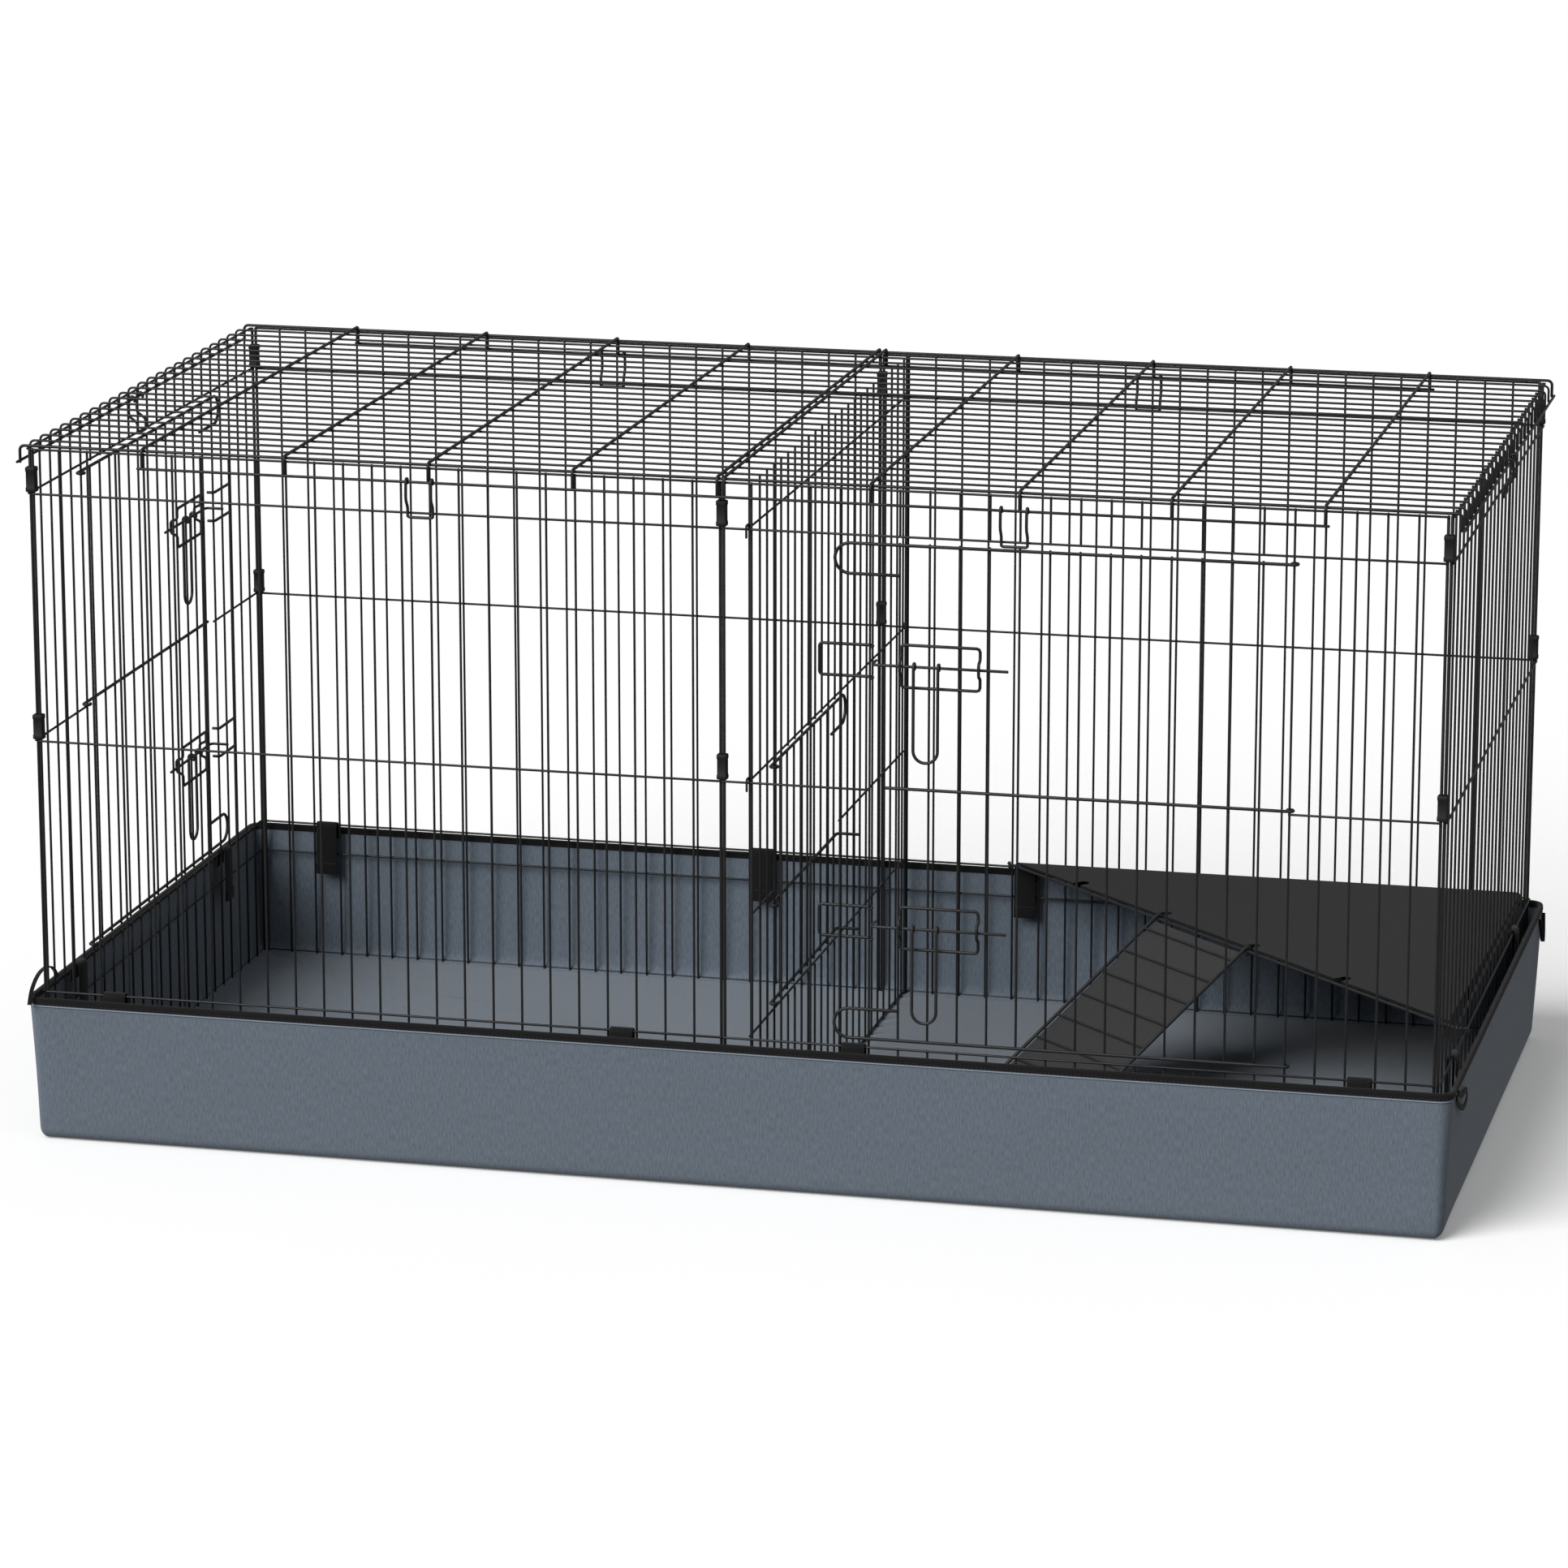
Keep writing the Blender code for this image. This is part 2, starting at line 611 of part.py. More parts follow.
def sleeve_mesh(sizes):
    """A short square tube that slips over two neighbouring panels' edge wires."""
    width, depth, hole_width, hole_depth = sizes
    outer = bpy.data.objects.new("sleeve", box_mesh((width, depth, SLEEVE_HEIGHT)))
    hole = bpy.data.objects.new("hole", box_mesh((hole_width, hole_depth, SLEEVE_HEIGHT * 2)))
    for obj in (outer, hole):
        bpy.context.scene.collection.objects.link(obj)
    cut = outer.modifiers.new("cut", "BOOLEAN")
    cut.operation = "DIFFERENCE"
    cut.solver = "EXACT"
    cut.object = hole
    bpy.context.view_layer.update()
    mesh = bpy.data.meshes.new_from_object(outer.evaluated_get(bpy.context.evaluated_depsgraph_get()))
    for obj in (outer, hole):
        bpy.data.objects.remove(obj)
    return mesh


def build_connectors():
    post, corner = sleeve_mesh(POST_SLEEVE), sleeve_mesh(CORNER_SLEEVE)
    posts = {
        "front_left": (-CORNER_X, -CORNER_Y, corner),
        "front_middle": (0, -HALF_DEPTH, post),
        "front_right": (CORNER_X, -CORNER_Y, corner),
        "back_left": (-CORNER_X, CORNER_Y, corner),
        "back_middle": (0, HALF_DEPTH, post),
        "back_right": (CORNER_X, CORNER_Y, corner),
    }
    for name, (x, y, mesh) in posts.items():
        for which, z in (("upper", HIGH_Z), ("lower", MIDDLE_Z)):
            middle = z + SLEEVE_LIFT + SLEEVE_HEIGHT / 2
            place(f"connector_{name}_{which}", mesh, "black_plastic", (x, y, middle))


# Tray -----------------------------------------------------------------------------------------------


def rounded_walls(top, foot, low, high, floor):
    """The open surface of a rounded oblong's side walls, with or without its floor."""
    bm = bmesh.new()
    bmesh.ops.create_cube(bm, size=2.0)
    for vert in bm.verts:
        half, z = (top, high) if vert.co.z > 0 else (foot, low)
        vert.co = (vert.co.x * half[0] * MM, vert.co.y * half[1] * MM, z * MM)
    corners = [edge for edge in bm.edges if abs(edge.verts[0].co.z - edge.verts[1].co.z) > MM]
    bmesh.ops.bevel(
        bm, geom=corners, offset=TRAY_CORNER * MM, segments=TRAY_CORNER_STEPS, profile=0.5, affect="EDGES"
    )
    bm.normal_update()
    flat = [face for face in bm.faces if face.normal.z > 0.9 or (face.normal.z < -0.9 and not floor)]
    bmesh.ops.delete(bm, geom=flat, context="FACES")
    mesh = bpy.data.meshes.new("walls")
    bm.to_mesh(mesh)
    bm.free()
    return mesh


def thicken(obj, thickness):
    shell = obj.modifiers.new("shell", "SOLIDIFY")
    shell.thickness = thickness * MM
    shell.offset = -1.0
    shell.use_even_offset = True


def build_tray():
    tray = place("tray", rounded_walls(TRAY_TOP, TRAY_FOOT, 0, TRAY_WALL_TOP, True), "grey_fabric")
    thicken(tray, TRAY_WALL)
    low = TRAY_WALL_TOP + GAP
    ring = rounded_walls(BINDING_OUTER, BINDING_OUTER, low, low + BINDING_HEIGHT, False)
    binding = place("tray_binding", ring, "black_tape")
    thicken(binding, BINDING_WIDTH)


def strap_mesh():
    """An upside-down U of tape, with its long leg inside the panel and its short leg outside."""
    half = STRAP_THICKNESS / 2
    outline = [
        (0, -STRAP_INNER - half, STRAP_INNER_DROP_Z - STRAP_TOP_Z),
        (0, -STRAP_INNER - half, -half),
        (0, -STRAP_OUTER + half, -half),
        (0, -STRAP_OUTER + half, STRAP_OUTER_DROP_Z - STRAP_TOP_Z),
    ]
    bm = bmesh.new()
    rows = []
    for x in (-STRAP_WIDTH / 2, STRAP_WIDTH / 2):
        rows.append([bm.verts.new(((x + p[0]) * MM, p[1] * MM, p[2] * MM)) for p in outline])
    for a, b in zip(range(len(outline)), range(1, len(outline))):
        bm.faces.new((rows[0][a], rows[1][a], rows[1][b], rows[0][b]))
    mesh = bpy.data.meshes.new("strap")
    bm.to_mesh(mesh)
    bm.free()
    return mesh


def build_straps():
    for name, (x, y, turn) in STRAP_PLACES.items():
        strap = place(name, strap_mesh(), "black_tape", (x, y, STRAP_TOP_Z), turn)
        tape = strap.modifiers.new("tape", "SOLIDIFY")
        tape.thickness = STRAP_THICKNESS * MM
        tape.offset = 0.0
        tape.use_even_offset = True


# Platform and ramp ----------------------------------------------------------------------------------


def slanted_edge():
    """The slanted wire's middle line: its ends, its direction and the level direction down the ramp."""
    start = Vector((*PLATFORM_START, 0))
    end = Vector((END_PANEL_X - PLATFORM_STANDOFF, PLATFORM_FRONT_Y, 0))
    along = (end - start).normalized()
    downhill = Vector((along.y, -along.x, 0))
    return start, end, along, downhill


def build_platform():
    start, end, along, downhill = slanted_edge()
    corner = Vector((end.x, HALF_DEPTH - PLATFORM_STANDOFF, 0))
    lift = Vector((0, 0, PLATFORM_Z))
    drop = Vector((0, 0, -HOOK_DROP))
    back_out = Vector((start.x, HALF_DEPTH + HOOK_REACH, 0))
    right_out = Vector((END_PANEL_X + HOOK_REACH, end.y, 0))
    slanted = [back_out + drop, back_out, start, end, right_out, right_out + drop]
    back_start = Vector((PLATFORM_BACK_X + PLATFORM_WELD, corner.y, 0))
    sides = [back_start, corner, end + Vector((0, PLATFORM_WELD, 0))]
    hooked = wires([(PLATFORM_WIRE, [p + lift for p in slanted], False)])
    angle = wires([(PLATFORM_WIRE, [p + lift for p in sides], False)])
    place("platform_frame", joined(hooked, angle), "black_wire")

    uphill = -downhill
    edge = start.lerp(end, RAMP_MIDDLE) + uphill * SHEET_BACK_OFF
    outline = [start + uphill * SHEET_BACK_OFF + along * SHEET_TRIM]
    for place_along in SLOT_PLACES:
        for across, deep in (
            (-SLOT_MOUTH, 0.0),
            (-SLOT_FLOOR, SLOT_DEPTH),
            (SLOT_FLOOR, SLOT_DEPTH),
            (SLOT_MOUTH, 0.0),
        ):
            outline.append(edge + along * (place_along + across) + uphill * deep)
    outline += [end + uphill * SHEET_BACK_OFF - along * SHEET_TRIM, corner]
    thickness = SHEET_THICKNESS / 2
    height = PLATFORM_Z + PLATFORM_WIRE / 2 + GAP + thickness
    place("platform_sheet", flat_outline(outline, thickness), "dark_sheet", (0, 0, height))


def flat_outline(points, half_thickness):
    curve = bpy.data.curves.new("outline", "CURVE")
    curve.dimensions = "2D"
    curve.fill_mode = "BOTH"
    curve.extrude = half_thickness * MM
    spline = curve.splines.new("POLY")
    spline.points.add(len(points) - 1)
    spline.use_cyclic_u = True
    for spot, point in zip(spline.points, points):
        spot.co = (point[0] * MM, point[1] * MM, 0, 1.0)
    obj = bpy.data.objects.new("outline", curve)
    bpy.context.scene.collection.objects.link(obj)
    bpy.context.view_layer.update()
    mesh = bpy.data.meshes.new_from_object(obj.evaluated_get(bpy.context.evaluated_depsgraph_get()))
    bpy.data.objects.remove(obj)
    bpy.data.curves.remove(curve)
    weld(mesh)
    return mesh


def build_ramp():
    """Drawn with the slanted wire as its x axis and y level and downhill, so that it hinges at its origin."""
    start, end, along, _ = slanted_edge()
    slope = math.radians(RAMP_SLOPE)
    down = Vector((0, math.cos(slope), -math.sin(slope)))
    normal = Vector((0, math.sin(slope), math.cos(slope)))
    rail_height = normal * RAMP_HOOK_RADIUS
    length = (PLATFORM_Z + rail_height.z - RAMP_FOOT_Z) / math.sin(slope)
    rails = []
    for x in (-RAMP_HALF_WIDTH, RAMP_HALF_WIDTH):
        turn = 90 - RAMP_SLOPE - RAMP_HOOK_BACK
        hook = arc((x, 0, 0), (0, 1, 0), (0, 0, 1), RAMP_HOOK_RADIUS, RAMP_HOOK_BACK, turn, RAMP_HOOK_STEPS)
        rails.append((RAMP_WIRE, [*hook, hook[-1] + down * length], False))
    side = Vector((RAMP_HALF_WIDTH, 0, 0))
    rungs = []
    for k in range(RAMP_RUNGS):
        middle = rail_height + down * (RUNG_FIRST + k * RUNG_PITCH)
        rungs.append(straight(RUNG_WIRE, middle - side, middle + side))
    turn = math.degrees(math.atan2(-along.y, -along.x))
    location = start.lerp(end, RAMP_MIDDLE) + Vector((0, 0, PLATFORM_Z))
    frame = place("ramp_frame", joined(wires(rails), wires(rungs)), "black_wire", location, turn)

    half = Vector((RAMP_HALF_WIDTH - RAMP_SHEET_SIDE, 0, 0))
    top, foot = down * RAMP_SHEET_START, down * (length - RAMP_SHEET_STOP)
    surface = rail_height - normal * (RUNG_WIRE / 2 + GAP)
    corners = [top - half, top + half, foot + half, foot - half]
    bm = bmesh.new()
    bm.faces.new([bm.verts.new((p + surface) * MM) for p in corners])
    bm.normal_update()
    mesh = bpy.data.meshes.new("ramp_sheet")
    bm.to_mesh(mesh)
    bm.free()
    sheet = place("ramp_sheet", mesh, "dark_sheet", location, turn, frame)
    cloth = sheet.modifiers.new("cloth", "SOLIDIFY")
    cloth.thickness = SHEET_THICKNESS * MM
    cloth.offset = -1.0


start_empty()
build_panels()
build_doors()
build_divider()
build_lid()
build_connectors()
build_tray()
build_straps()
build_platform()
build_ramp()
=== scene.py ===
"""Looks of the wire rabbit cage: round coated wire, a sewn fabric tray, webbing, plastic sleeves and covers.

Lengths are in millimetres and become metres where meshes are made. X runs along the length, Y from front to
back and Z up from the tray's underside. A panel is drawn from outside, with its uprights at y 0, then turned.
"""

import math

import bmesh
import bpy
from mathutils import Matrix, Vector, noise


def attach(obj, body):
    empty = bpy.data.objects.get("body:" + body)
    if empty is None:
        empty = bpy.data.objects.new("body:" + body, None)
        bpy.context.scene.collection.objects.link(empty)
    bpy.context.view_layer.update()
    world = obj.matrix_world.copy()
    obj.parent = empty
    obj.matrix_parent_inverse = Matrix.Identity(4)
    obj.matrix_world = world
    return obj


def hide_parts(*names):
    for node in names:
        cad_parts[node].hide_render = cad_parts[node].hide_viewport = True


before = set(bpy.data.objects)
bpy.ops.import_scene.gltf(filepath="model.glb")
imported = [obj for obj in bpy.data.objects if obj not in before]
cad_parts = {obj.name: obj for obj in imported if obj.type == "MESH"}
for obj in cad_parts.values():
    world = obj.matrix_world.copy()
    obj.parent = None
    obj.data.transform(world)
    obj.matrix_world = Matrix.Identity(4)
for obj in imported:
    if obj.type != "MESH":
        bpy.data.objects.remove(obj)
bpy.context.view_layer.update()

MM = 0.001
PITCH = 25.0
PANEL_HALF = 300.0
HALF_DEPTH = 300.0
END_X = 601.4
TOP_Z, HIGH_Z, MIDDLE_Z, RIM_Z, LOW_Z, BOTTOM_Z = 605.2, 567.0, 352.5, 131.0, 102.5, 4.6
UPRIGHT_Z = (3.5, 606.2)
EDGE_UPRIGHT = 298.5
LEVEL_END = 299.6

# Wire diameters
THIN, RIM, CLIP, EDGE, BAR, LATCH, BOLT = 2.05, 2.4, 2.6, 2.7, 2.8, 2.7, 2.5
PLATFORM_WIRE, RAIL, RUNG = 2.6, 3.2, 2.2

# Where wires lie across a panel: level wires, door bars, door uprights, latch wires and bolts
LEVEL_Y, BAR_Y, UP_Y, GUIDE_Y, BOLT_Y = -1.8, -2.95, -0.9, -2.8, -6.2
DOOR_WELD_Y = -1.8

DOOR_HINGE, DOOR_KEEPER = 175.0, -175.0
DOOR_BARS = (560.2, 355.4, 139.0)
LATCH_Z = (459.7, 237.0)
HINGE_RING = 3.0
CURL_RADIUS = 12.7
DIVIDER_X, DIVIDER_HINGE, DIVIDER_KEEPER = 23.7, 216.0, -34.0
DIVIDER_BARS = (345.7, 225.0, 138.5)
DIVIDER_RIM_Z, DIVIDER_LOW_Z = 132.0, 236.0
DIVIDER_EDGE = 296.8

SLEEVE_RISE = 12.35

LID_Z, LID_EDGE_Z, LID_CROSS_Z, RIM_WIRE_Z = 607.6, 607.9, 610.05, 594.0
LID_CROSS_X = (3.0, 126.0, 250.0, 375.0, 500.0)
LID_LEG = (609.5, 304.4)
LID_RIM = (611.5, 306.8)
CLIP_EYE, CLIP_HALF = 2.75, 10.85

SLANT_START, SLANT_END = Vector((121.6, 298.7, 0)), Vector((595.7, -141.3, 0))
PLATFORM_Z = 134.4
SLOT_PLACES = (-190.5, -64.5, 64.5, 190.5)
RAMP_MIDDLE, RAMP_SLOPE, RAMP_HALF = 0.4556, 34.0, 64.5
RAMP_HOOK, RAMP_FOOT_Z = 3.3, 4.9
RUNG_FIRST, RUNG_PITCH, RUNGS = 16.2, 28.8, 8

SCENE = bpy.context.scene


# Materials ------------------------------------------------------------------------------------------


def new_material(name, colour, roughness):
    material = bpy.data.materials.new(name)
    material.use_nodes = True
    shader = material.node_tree.nodes["Principled BSDF"]
    shader.inputs["Base Color"].default_value = (*colour, 1.0)
    shader.inputs["Roughness"].default_value = roughness
    return material, material.node_tree, shader


def add(tree, kind, **settings):
    node = tree.nodes.new(kind)
    for key, value in settings.items():
        if key in node.inputs:
            node.inputs[key].default_value = value
        else:
            setattr(node, key, value)
    return node


def noise_from(tree, source, scale, detail=2.0, stretch=None):
    if stretch:
        mapping = add(tree, "ShaderNodeMapping")
        mapping.inputs["Scale"].default_value = stretch
        tree.links.new(source, mapping.inputs["Vector"])
        source = mapping.outputs["Vector"]
    cloud = add(tree, "ShaderNodeTexNoise")
    cloud.inputs["Scale"].default_value = scale
    cloud.inputs["Detail"].default_value = detail
    tree.links.new(source, cloud.inputs["Vector"])
    return cloud.outputs["Fac"]


def ranged(tree, value, low, high):
    out = add(tree, "ShaderNodeMapRange")
    out.inputs["From Min"].default_value = 0.3
    out.inputs["From Max"].default_value = 0.7
    out.inputs["To Min"].default_value = low
    out.inputs["To Max"].default_value = high
    tree.links.new(value, out.inputs["Value"])
    return out.outputs["Result"]


def tinted(tree, value, dark, light):
    mix = add(tree, "ShaderNodeMix", data_type="RGBA")
    mix.inputs["A"].default_value = (*dark, 1.0)
    mix.inputs["B"].default_value = (*light, 1.0)
    tree.links.new(value, mix.inputs["Factor"])
    return mix.outputs["Result"]


def bumped(tree, shader, height, strength, distance):
    bump = add(tree, "ShaderNodeBump")
    bump.inputs["Strength"].default_value = strength
    bump.inputs["Distance"].default_value = distance
    tree.links.new(height, bump.inputs["Height"])
    tree.links.new(bump.outputs["Normal"], shader.inputs["Normal"])


def coated(name, colour, light, rough, grain=1400.0, strength=0.25):
    """Powder coat or moulded plastic: an even colour with a fine orange-peel skin."""
    material, tree, shader = new_material(name, colour, (rough[0] + rough[1]) / 2)
    shader.inputs["Specular IOR Level"].default_value = 0.3
    where = add(tree, "ShaderNodeTexCoord").outputs["Object"]
    cloud = noise_from(tree, where, 90.0, 3.0)
    tree.links.new(tinted(tree, ranged(tree, cloud, 0, 1), colour, light), shader.inputs["Base Color"])
    tree.links.new(ranged(tree, cloud, *rough), shader.inputs["Roughness"])
    bumped(tree, shader, noise_from(tree, where, grain), strength, 0.00012)
    return material


def woven(name, dark, light, rough, thread, heather, strength=0.5, sheen=0.0, streaks=(1.0, 1.0, 1.0)):
    """Cloth: two sets of threads across the mesh's own flat layout, with a mottled colour."""
    material, tree, shader = new_material(name, [(a + b) / 2 for a, b in zip(dark, light)], rough)
    shader.inputs["Specular IOR Level"].default_value = 0.12
    shader.inputs["Sheen Weight"].default_value = sheen
    shader.inputs["Sheen Roughness"].default_value = 0.5
    where = add(tree, "ShaderNodeTexCoord").outputs["UV"]
    waves = []
    for direction in ("X", "Y"):
        wave = add(tree, "ShaderNodeTexWave", wave_type="BANDS", bands_direction=direction)
        wave.inputs["Scale"].default_value = math.pi / (10 * thread * MM)
        wave.inputs["Distortion"].default_value = 0.6
        wave.inputs["Detail"].default_value = 1.0
        tree.links.new(where, wave.inputs["Vector"])
        waves.append(wave.outputs["Fac"])
    weave = add(tree, "ShaderNodeMath", operation="MAXIMUM")
    for k in (0, 1):
        tree.links.new(waves[k], weave.inputs[k])
    mottle = noise_from(tree, where, heather, 4.0, streaks)
    both = add(tree, "ShaderNodeMath", operation="MULTIPLY_ADD")
    tree.links.new(weave.outputs[0], both.inputs[0])
    both.inputs[1].default_value = 0.22
    tree.links.new(ranged(tree, mottle, 0.0, 0.8), both.inputs[2])
    tree.links.new(tinted(tree, both.outputs[0], dark, light), shader.inputs["Base Color"])
    bumped(tree, shader, weave.outputs[0], strength, 0.00025)
    return material


WIRE = coated("coated_wire", (0.013, 0.013, 0.014), (0.019, 0.019, 0.02), (0.36, 0.48))
LATCH_COAT = coated("coated_latch_wire", (0.02, 0.02, 0.021), (0.028, 0.028, 0.029), (0.32, 0.42))
PLASTIC = coated("moulded_plastic", (0.008, 0.008, 0.0085), (0.012, 0.012, 0.0125), (0.6, 0.72), 800.0, 0.35)
HEATHER = ((0.098, 0.122, 0.15), (0.16, 0.192, 0.232))
GREY = woven("heather_fabric", *HEATHER, 0.9, 0.9, 700.0, 0.5, 0.25, (1.0, 0.22, 1.0))
# The fold line's lighter grey is a painted highlight: light catching the fabric's top edge where it turns
# under the binding.
FOLD_PAINTED_HIGHLIGHT = woven("fabric_fold_painted_highlight", (0.2, 0.235, 0.275), (0.27, 0.31, 0.36), 0.85, 0.9, 700.0, 0.4, 0.2)
TAPE = woven("binding_tape", (0.005, 0.005, 0.005), (0.011, 0.011, 0.011), 0.85, 1.1, 900.0, 0.7, 0.1)
# The platform's cover and the ramp's cover are one dark board in two brightnesses: the platform's copy is
# painted darker, as painted shade, and the ramp's copy lighter, as painted light, each set to how that
# surface lies in the light.
COVER = woven("dark_cover_painted_shade", (0.005, 0.005, 0.0053), (0.0078, 0.0078, 0.0081), 0.95, 0.8, 500.0, 0.3, 0.1)
RAMP_COVER_PAINTED_LIGHT = woven("ramp_cover", (0.033, 0.033, 0.034), (0.044, 0.044, 0.045), 0.85, 0.8, 500.0, 0.3, 0.1)
THREAD = coated("sewing_thread", (0.03, 0.03, 0.031), (0.045, 0.045, 0.046), (0.7, 0.85))


# Setting pieces down --------------------------------------------------------------------------------


def settle(name, mesh, material, body, replaces=(), location=(0, 0, 0), turn=0.0):
    """An object made of a mesh, set down in the world and riding on a body."""
    obj = bpy.data.objects.new(name, mesh)
    SCENE.collection.objects.link(obj)
    if not mesh.materials:
        mesh.materials.append(material)
    obj.matrix_world = Matrix.Translation(Vector(location) * MM) @ Matrix.Rotation(math.radians(turn), 4, "Z")
    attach(obj, body)
    if replaces:
        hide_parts(*replaces)
    return obj


def finished(bm, name, smooth=40.0):
    mesh = bpy.data.meshes.new(name)
    bmesh.ops.recalc_face_normals(bm, faces=bm.faces)
    bm.to_mesh(mesh)
    bm.free()
    for polygon in mesh.polygons:
        polygon.use_smooth = True
    mesh.set_sharp_from_angle(angle=math.radians(smooth))
    return mesh


# Wire routes ----------------------------------------------------------------------------------------


def rounded(points, radius, steps=6):
    points = [Vector(p) for p in points]
    route = [points[0]]
    for before, corner, after in zip(points, points[1:], points[2:]):
        into, out = (corner - before).normalized(), (after - corner).normalized()
        turn = into.angle(out)
        start = corner - into * (radius * math.tan(turn / 2))
        centre = start + (out - into * out.dot(into)).normalized() * radius
        axis = into.cross(out).normalized()
        for k in range(steps + 1):
            route.append(centre + Matrix.Rotation(turn * k / steps, 3, axis) @ (start - centre))
    return [*route, points[-1]]


def arc(centre, first, second, radius, start, turn, steps):
    centre, first, second = Vector(centre), Vector(first), Vector(second)
    angles = [math.radians(start + turn * k / steps) for k in range(steps + 1)]
    return [centre + first * (radius * math.cos(a)) + second * (radius * math.sin(a)) for a in angles]


def straight(diameter, start, end):
    return (diameter, [Vector(start), Vector(end)], False)


def upright(x, y, low, high, diameter=THIN):
    return straight(diameter, (x, y, low), (x, y, high))


def bars_between(first, last):
    return [first + PITCH * k for k in range(round((last - first) / PITCH) + 1)]


def with_tips(points, radius):
    """Points and radii of an open wire, whose cut ends are rounded off by the coating."""
    first, last = (points[1] - points[0]).normalized(), (points[-2] - points[-1]).normalized()
    dome = ((0.0, 0.55), (0.22, 0.86), (0.6, 1.0))
    spots = [(points[0] + first * radius * along, share) for along, share in dome]
    spots += [(p, 1.0) for p in points[1:-1]]
    return spots + [(points[-1] + last * radius * along, share) for along, share in dome[::-1]]


def tubes(routes, name, sides=4):
    """One mesh of round wires, each given as its diameter, its points and whether it is a loop."""
    curve = bpy.data.curves.new(name, "CURVE")
    curve.dimensions = "3D"
    curve.bevel_depth = MM
    curve.bevel_resolution = sides
    curve.use_fill_caps = True
    for diameter, points, closed in routes:
        points = [Vector(p) for p in points]
        spots = [(p, 1.0) for p in points] if closed else with_tips(points, diameter / 2)
        spline = curve.splines.new("POLY")
        spline.points.add(len(spots) - 1)
        spline.use_cyclic_u = closed
        for spot, (point, share) in zip(spline.points, spots):
            spot.co = (*(point * MM), 1.0)
            spot.radius = share * diameter / 2
    obj = bpy.data.objects.new(name, curve)
    SCENE.collection.objects.link(obj)
    bpy.context.view_layer.update()
    mesh = bpy.data.meshes.new_from_object(obj.evaluated_get(bpy.context.evaluated_depsgraph_get()))
    bpy.data.objects.remove(obj)
    bpy.data.curves.remove(curve)
    mesh.materials.clear()
    bm = bmesh.new()
    bm.from_mesh(mesh)
    bmesh.ops.remove_doubles(bm, verts=bm.verts, dist=1e-6)
    bpy.data.meshes.remove(mesh)
    return bm


def add_welds(bm, places, size=(0.95, 0.75, 0.95)):
    """The small swell that each spot weld leaves under the coating."""
    for place in places:
        shape = Matrix.Translation(Vector(place) * MM) @ Matrix.Diagonal((*(s * MM for s in size), 1.0))
        bmesh.ops.create_icosphere(bm, subdivisions=1, radius=1.0, matrix=shape)


def wire_mesh(name, routes, welds=()):
    bm = tubes(routes, name)
    add_welds(bm, welds)
    return finished(bm, name, 50.0)


# Panels and doors -----------------------------------------------------------------------------------


def keeper(upright_x, z):
    front, back, high, low = upright_x + 2.6, upright_x - 43.0, z + 14.6, z - 12.0
    outline = [(front, -5.0, high), (front, 1.9, high), (back, 1.9, high)]
    outline += [(back, 1.9, low), (front, 1.9, low), (front, -5.0, low)]
    return (LATCH, rounded(outline, 3.0), False)


def crossings(uprights, levels, y):
    """Where uprights, each with its foot and top, meet level wires, each with its two ends."""
    return [(x, y, z) for x, low, high in uprights for z, a, b in levels if low <= z <= high and a <= x <= b]


def panel_mesh(with_door):
    levels = [(z, -LEVEL_END, LEVEL_END) for z in (TOP_Z, HIGH_Z, RIM_Z, LOW_Z, BOTTOM_Z)]
    uprights = []
    if with_door:
        levels += [(MIDDLE_Z, -LEVEL_END, DOOR_KEEPER + 1.0), (MIDDLE_Z, DOOR_HINGE - 1.0, LEVEL_END)]
    else:
        levels.append((MIDDLE_Z, -LEVEL_END, LEVEL_END))
    for x in bars_between(-PANEL_HALF + PITCH, PANEL_HALF - PITCH):
        if with_door and abs(x) < DOOR_HINGE:
            uprights += [(x, HIGH_Z - 0.8, UPRIGHT_Z[1]), (x, UPRIGHT_Z[0], RIM_Z + 0.8)]
        else:
            uprights.append((x, *UPRIGHT_Z))
    routes = [straight(THIN, (a, LEVEL_Y, z), (b, LEVEL_Y, z)) for z, a, b in levels]
    routes += [upright(x, 0, low, high) for x, low, high in uprights]
    routes += [upright(side * EDGE_UPRIGHT, 0, *UPRIGHT_Z, EDGE) for side in (-1, 1)]
    if with_door:
        routes += [keeper(DOOR_KEEPER, z) for z in LATCH_Z]
    edges = [(side * EDGE_UPRIGHT, *UPRIGHT_Z) for side in (-1, 1)]
    return wire_mesh("panel", routes, crossings(uprights + edges, levels, LEVEL_Y / 2))


def curl(free_x, z, rise):
    """A bar's free end, bent back past the last upright like a hairpin."""
    centre = (free_x - 41.3, BAR_Y, z + rise * CURL_RADIUS)
    bend = arc(centre, (1, 0, 0), (0, 0, rise), CURL_RADIUS, 90, 180, 14)
    return [Vector((free_x + 1.0, BAR_Y, z + rise * 2 * CURL_RADIUS)), *bend]


def door_bar(free_end, z):
    """A door's level bar, whose other end is curled into a ring round the hinge upright."""
    ring = arc((0, 0, z), (1, 0, 0), (0, 1, 0), HINGE_RING, -90, 240, 14)
    return (BAR, [*(Vector(p) for p in free_end), *ring], False)


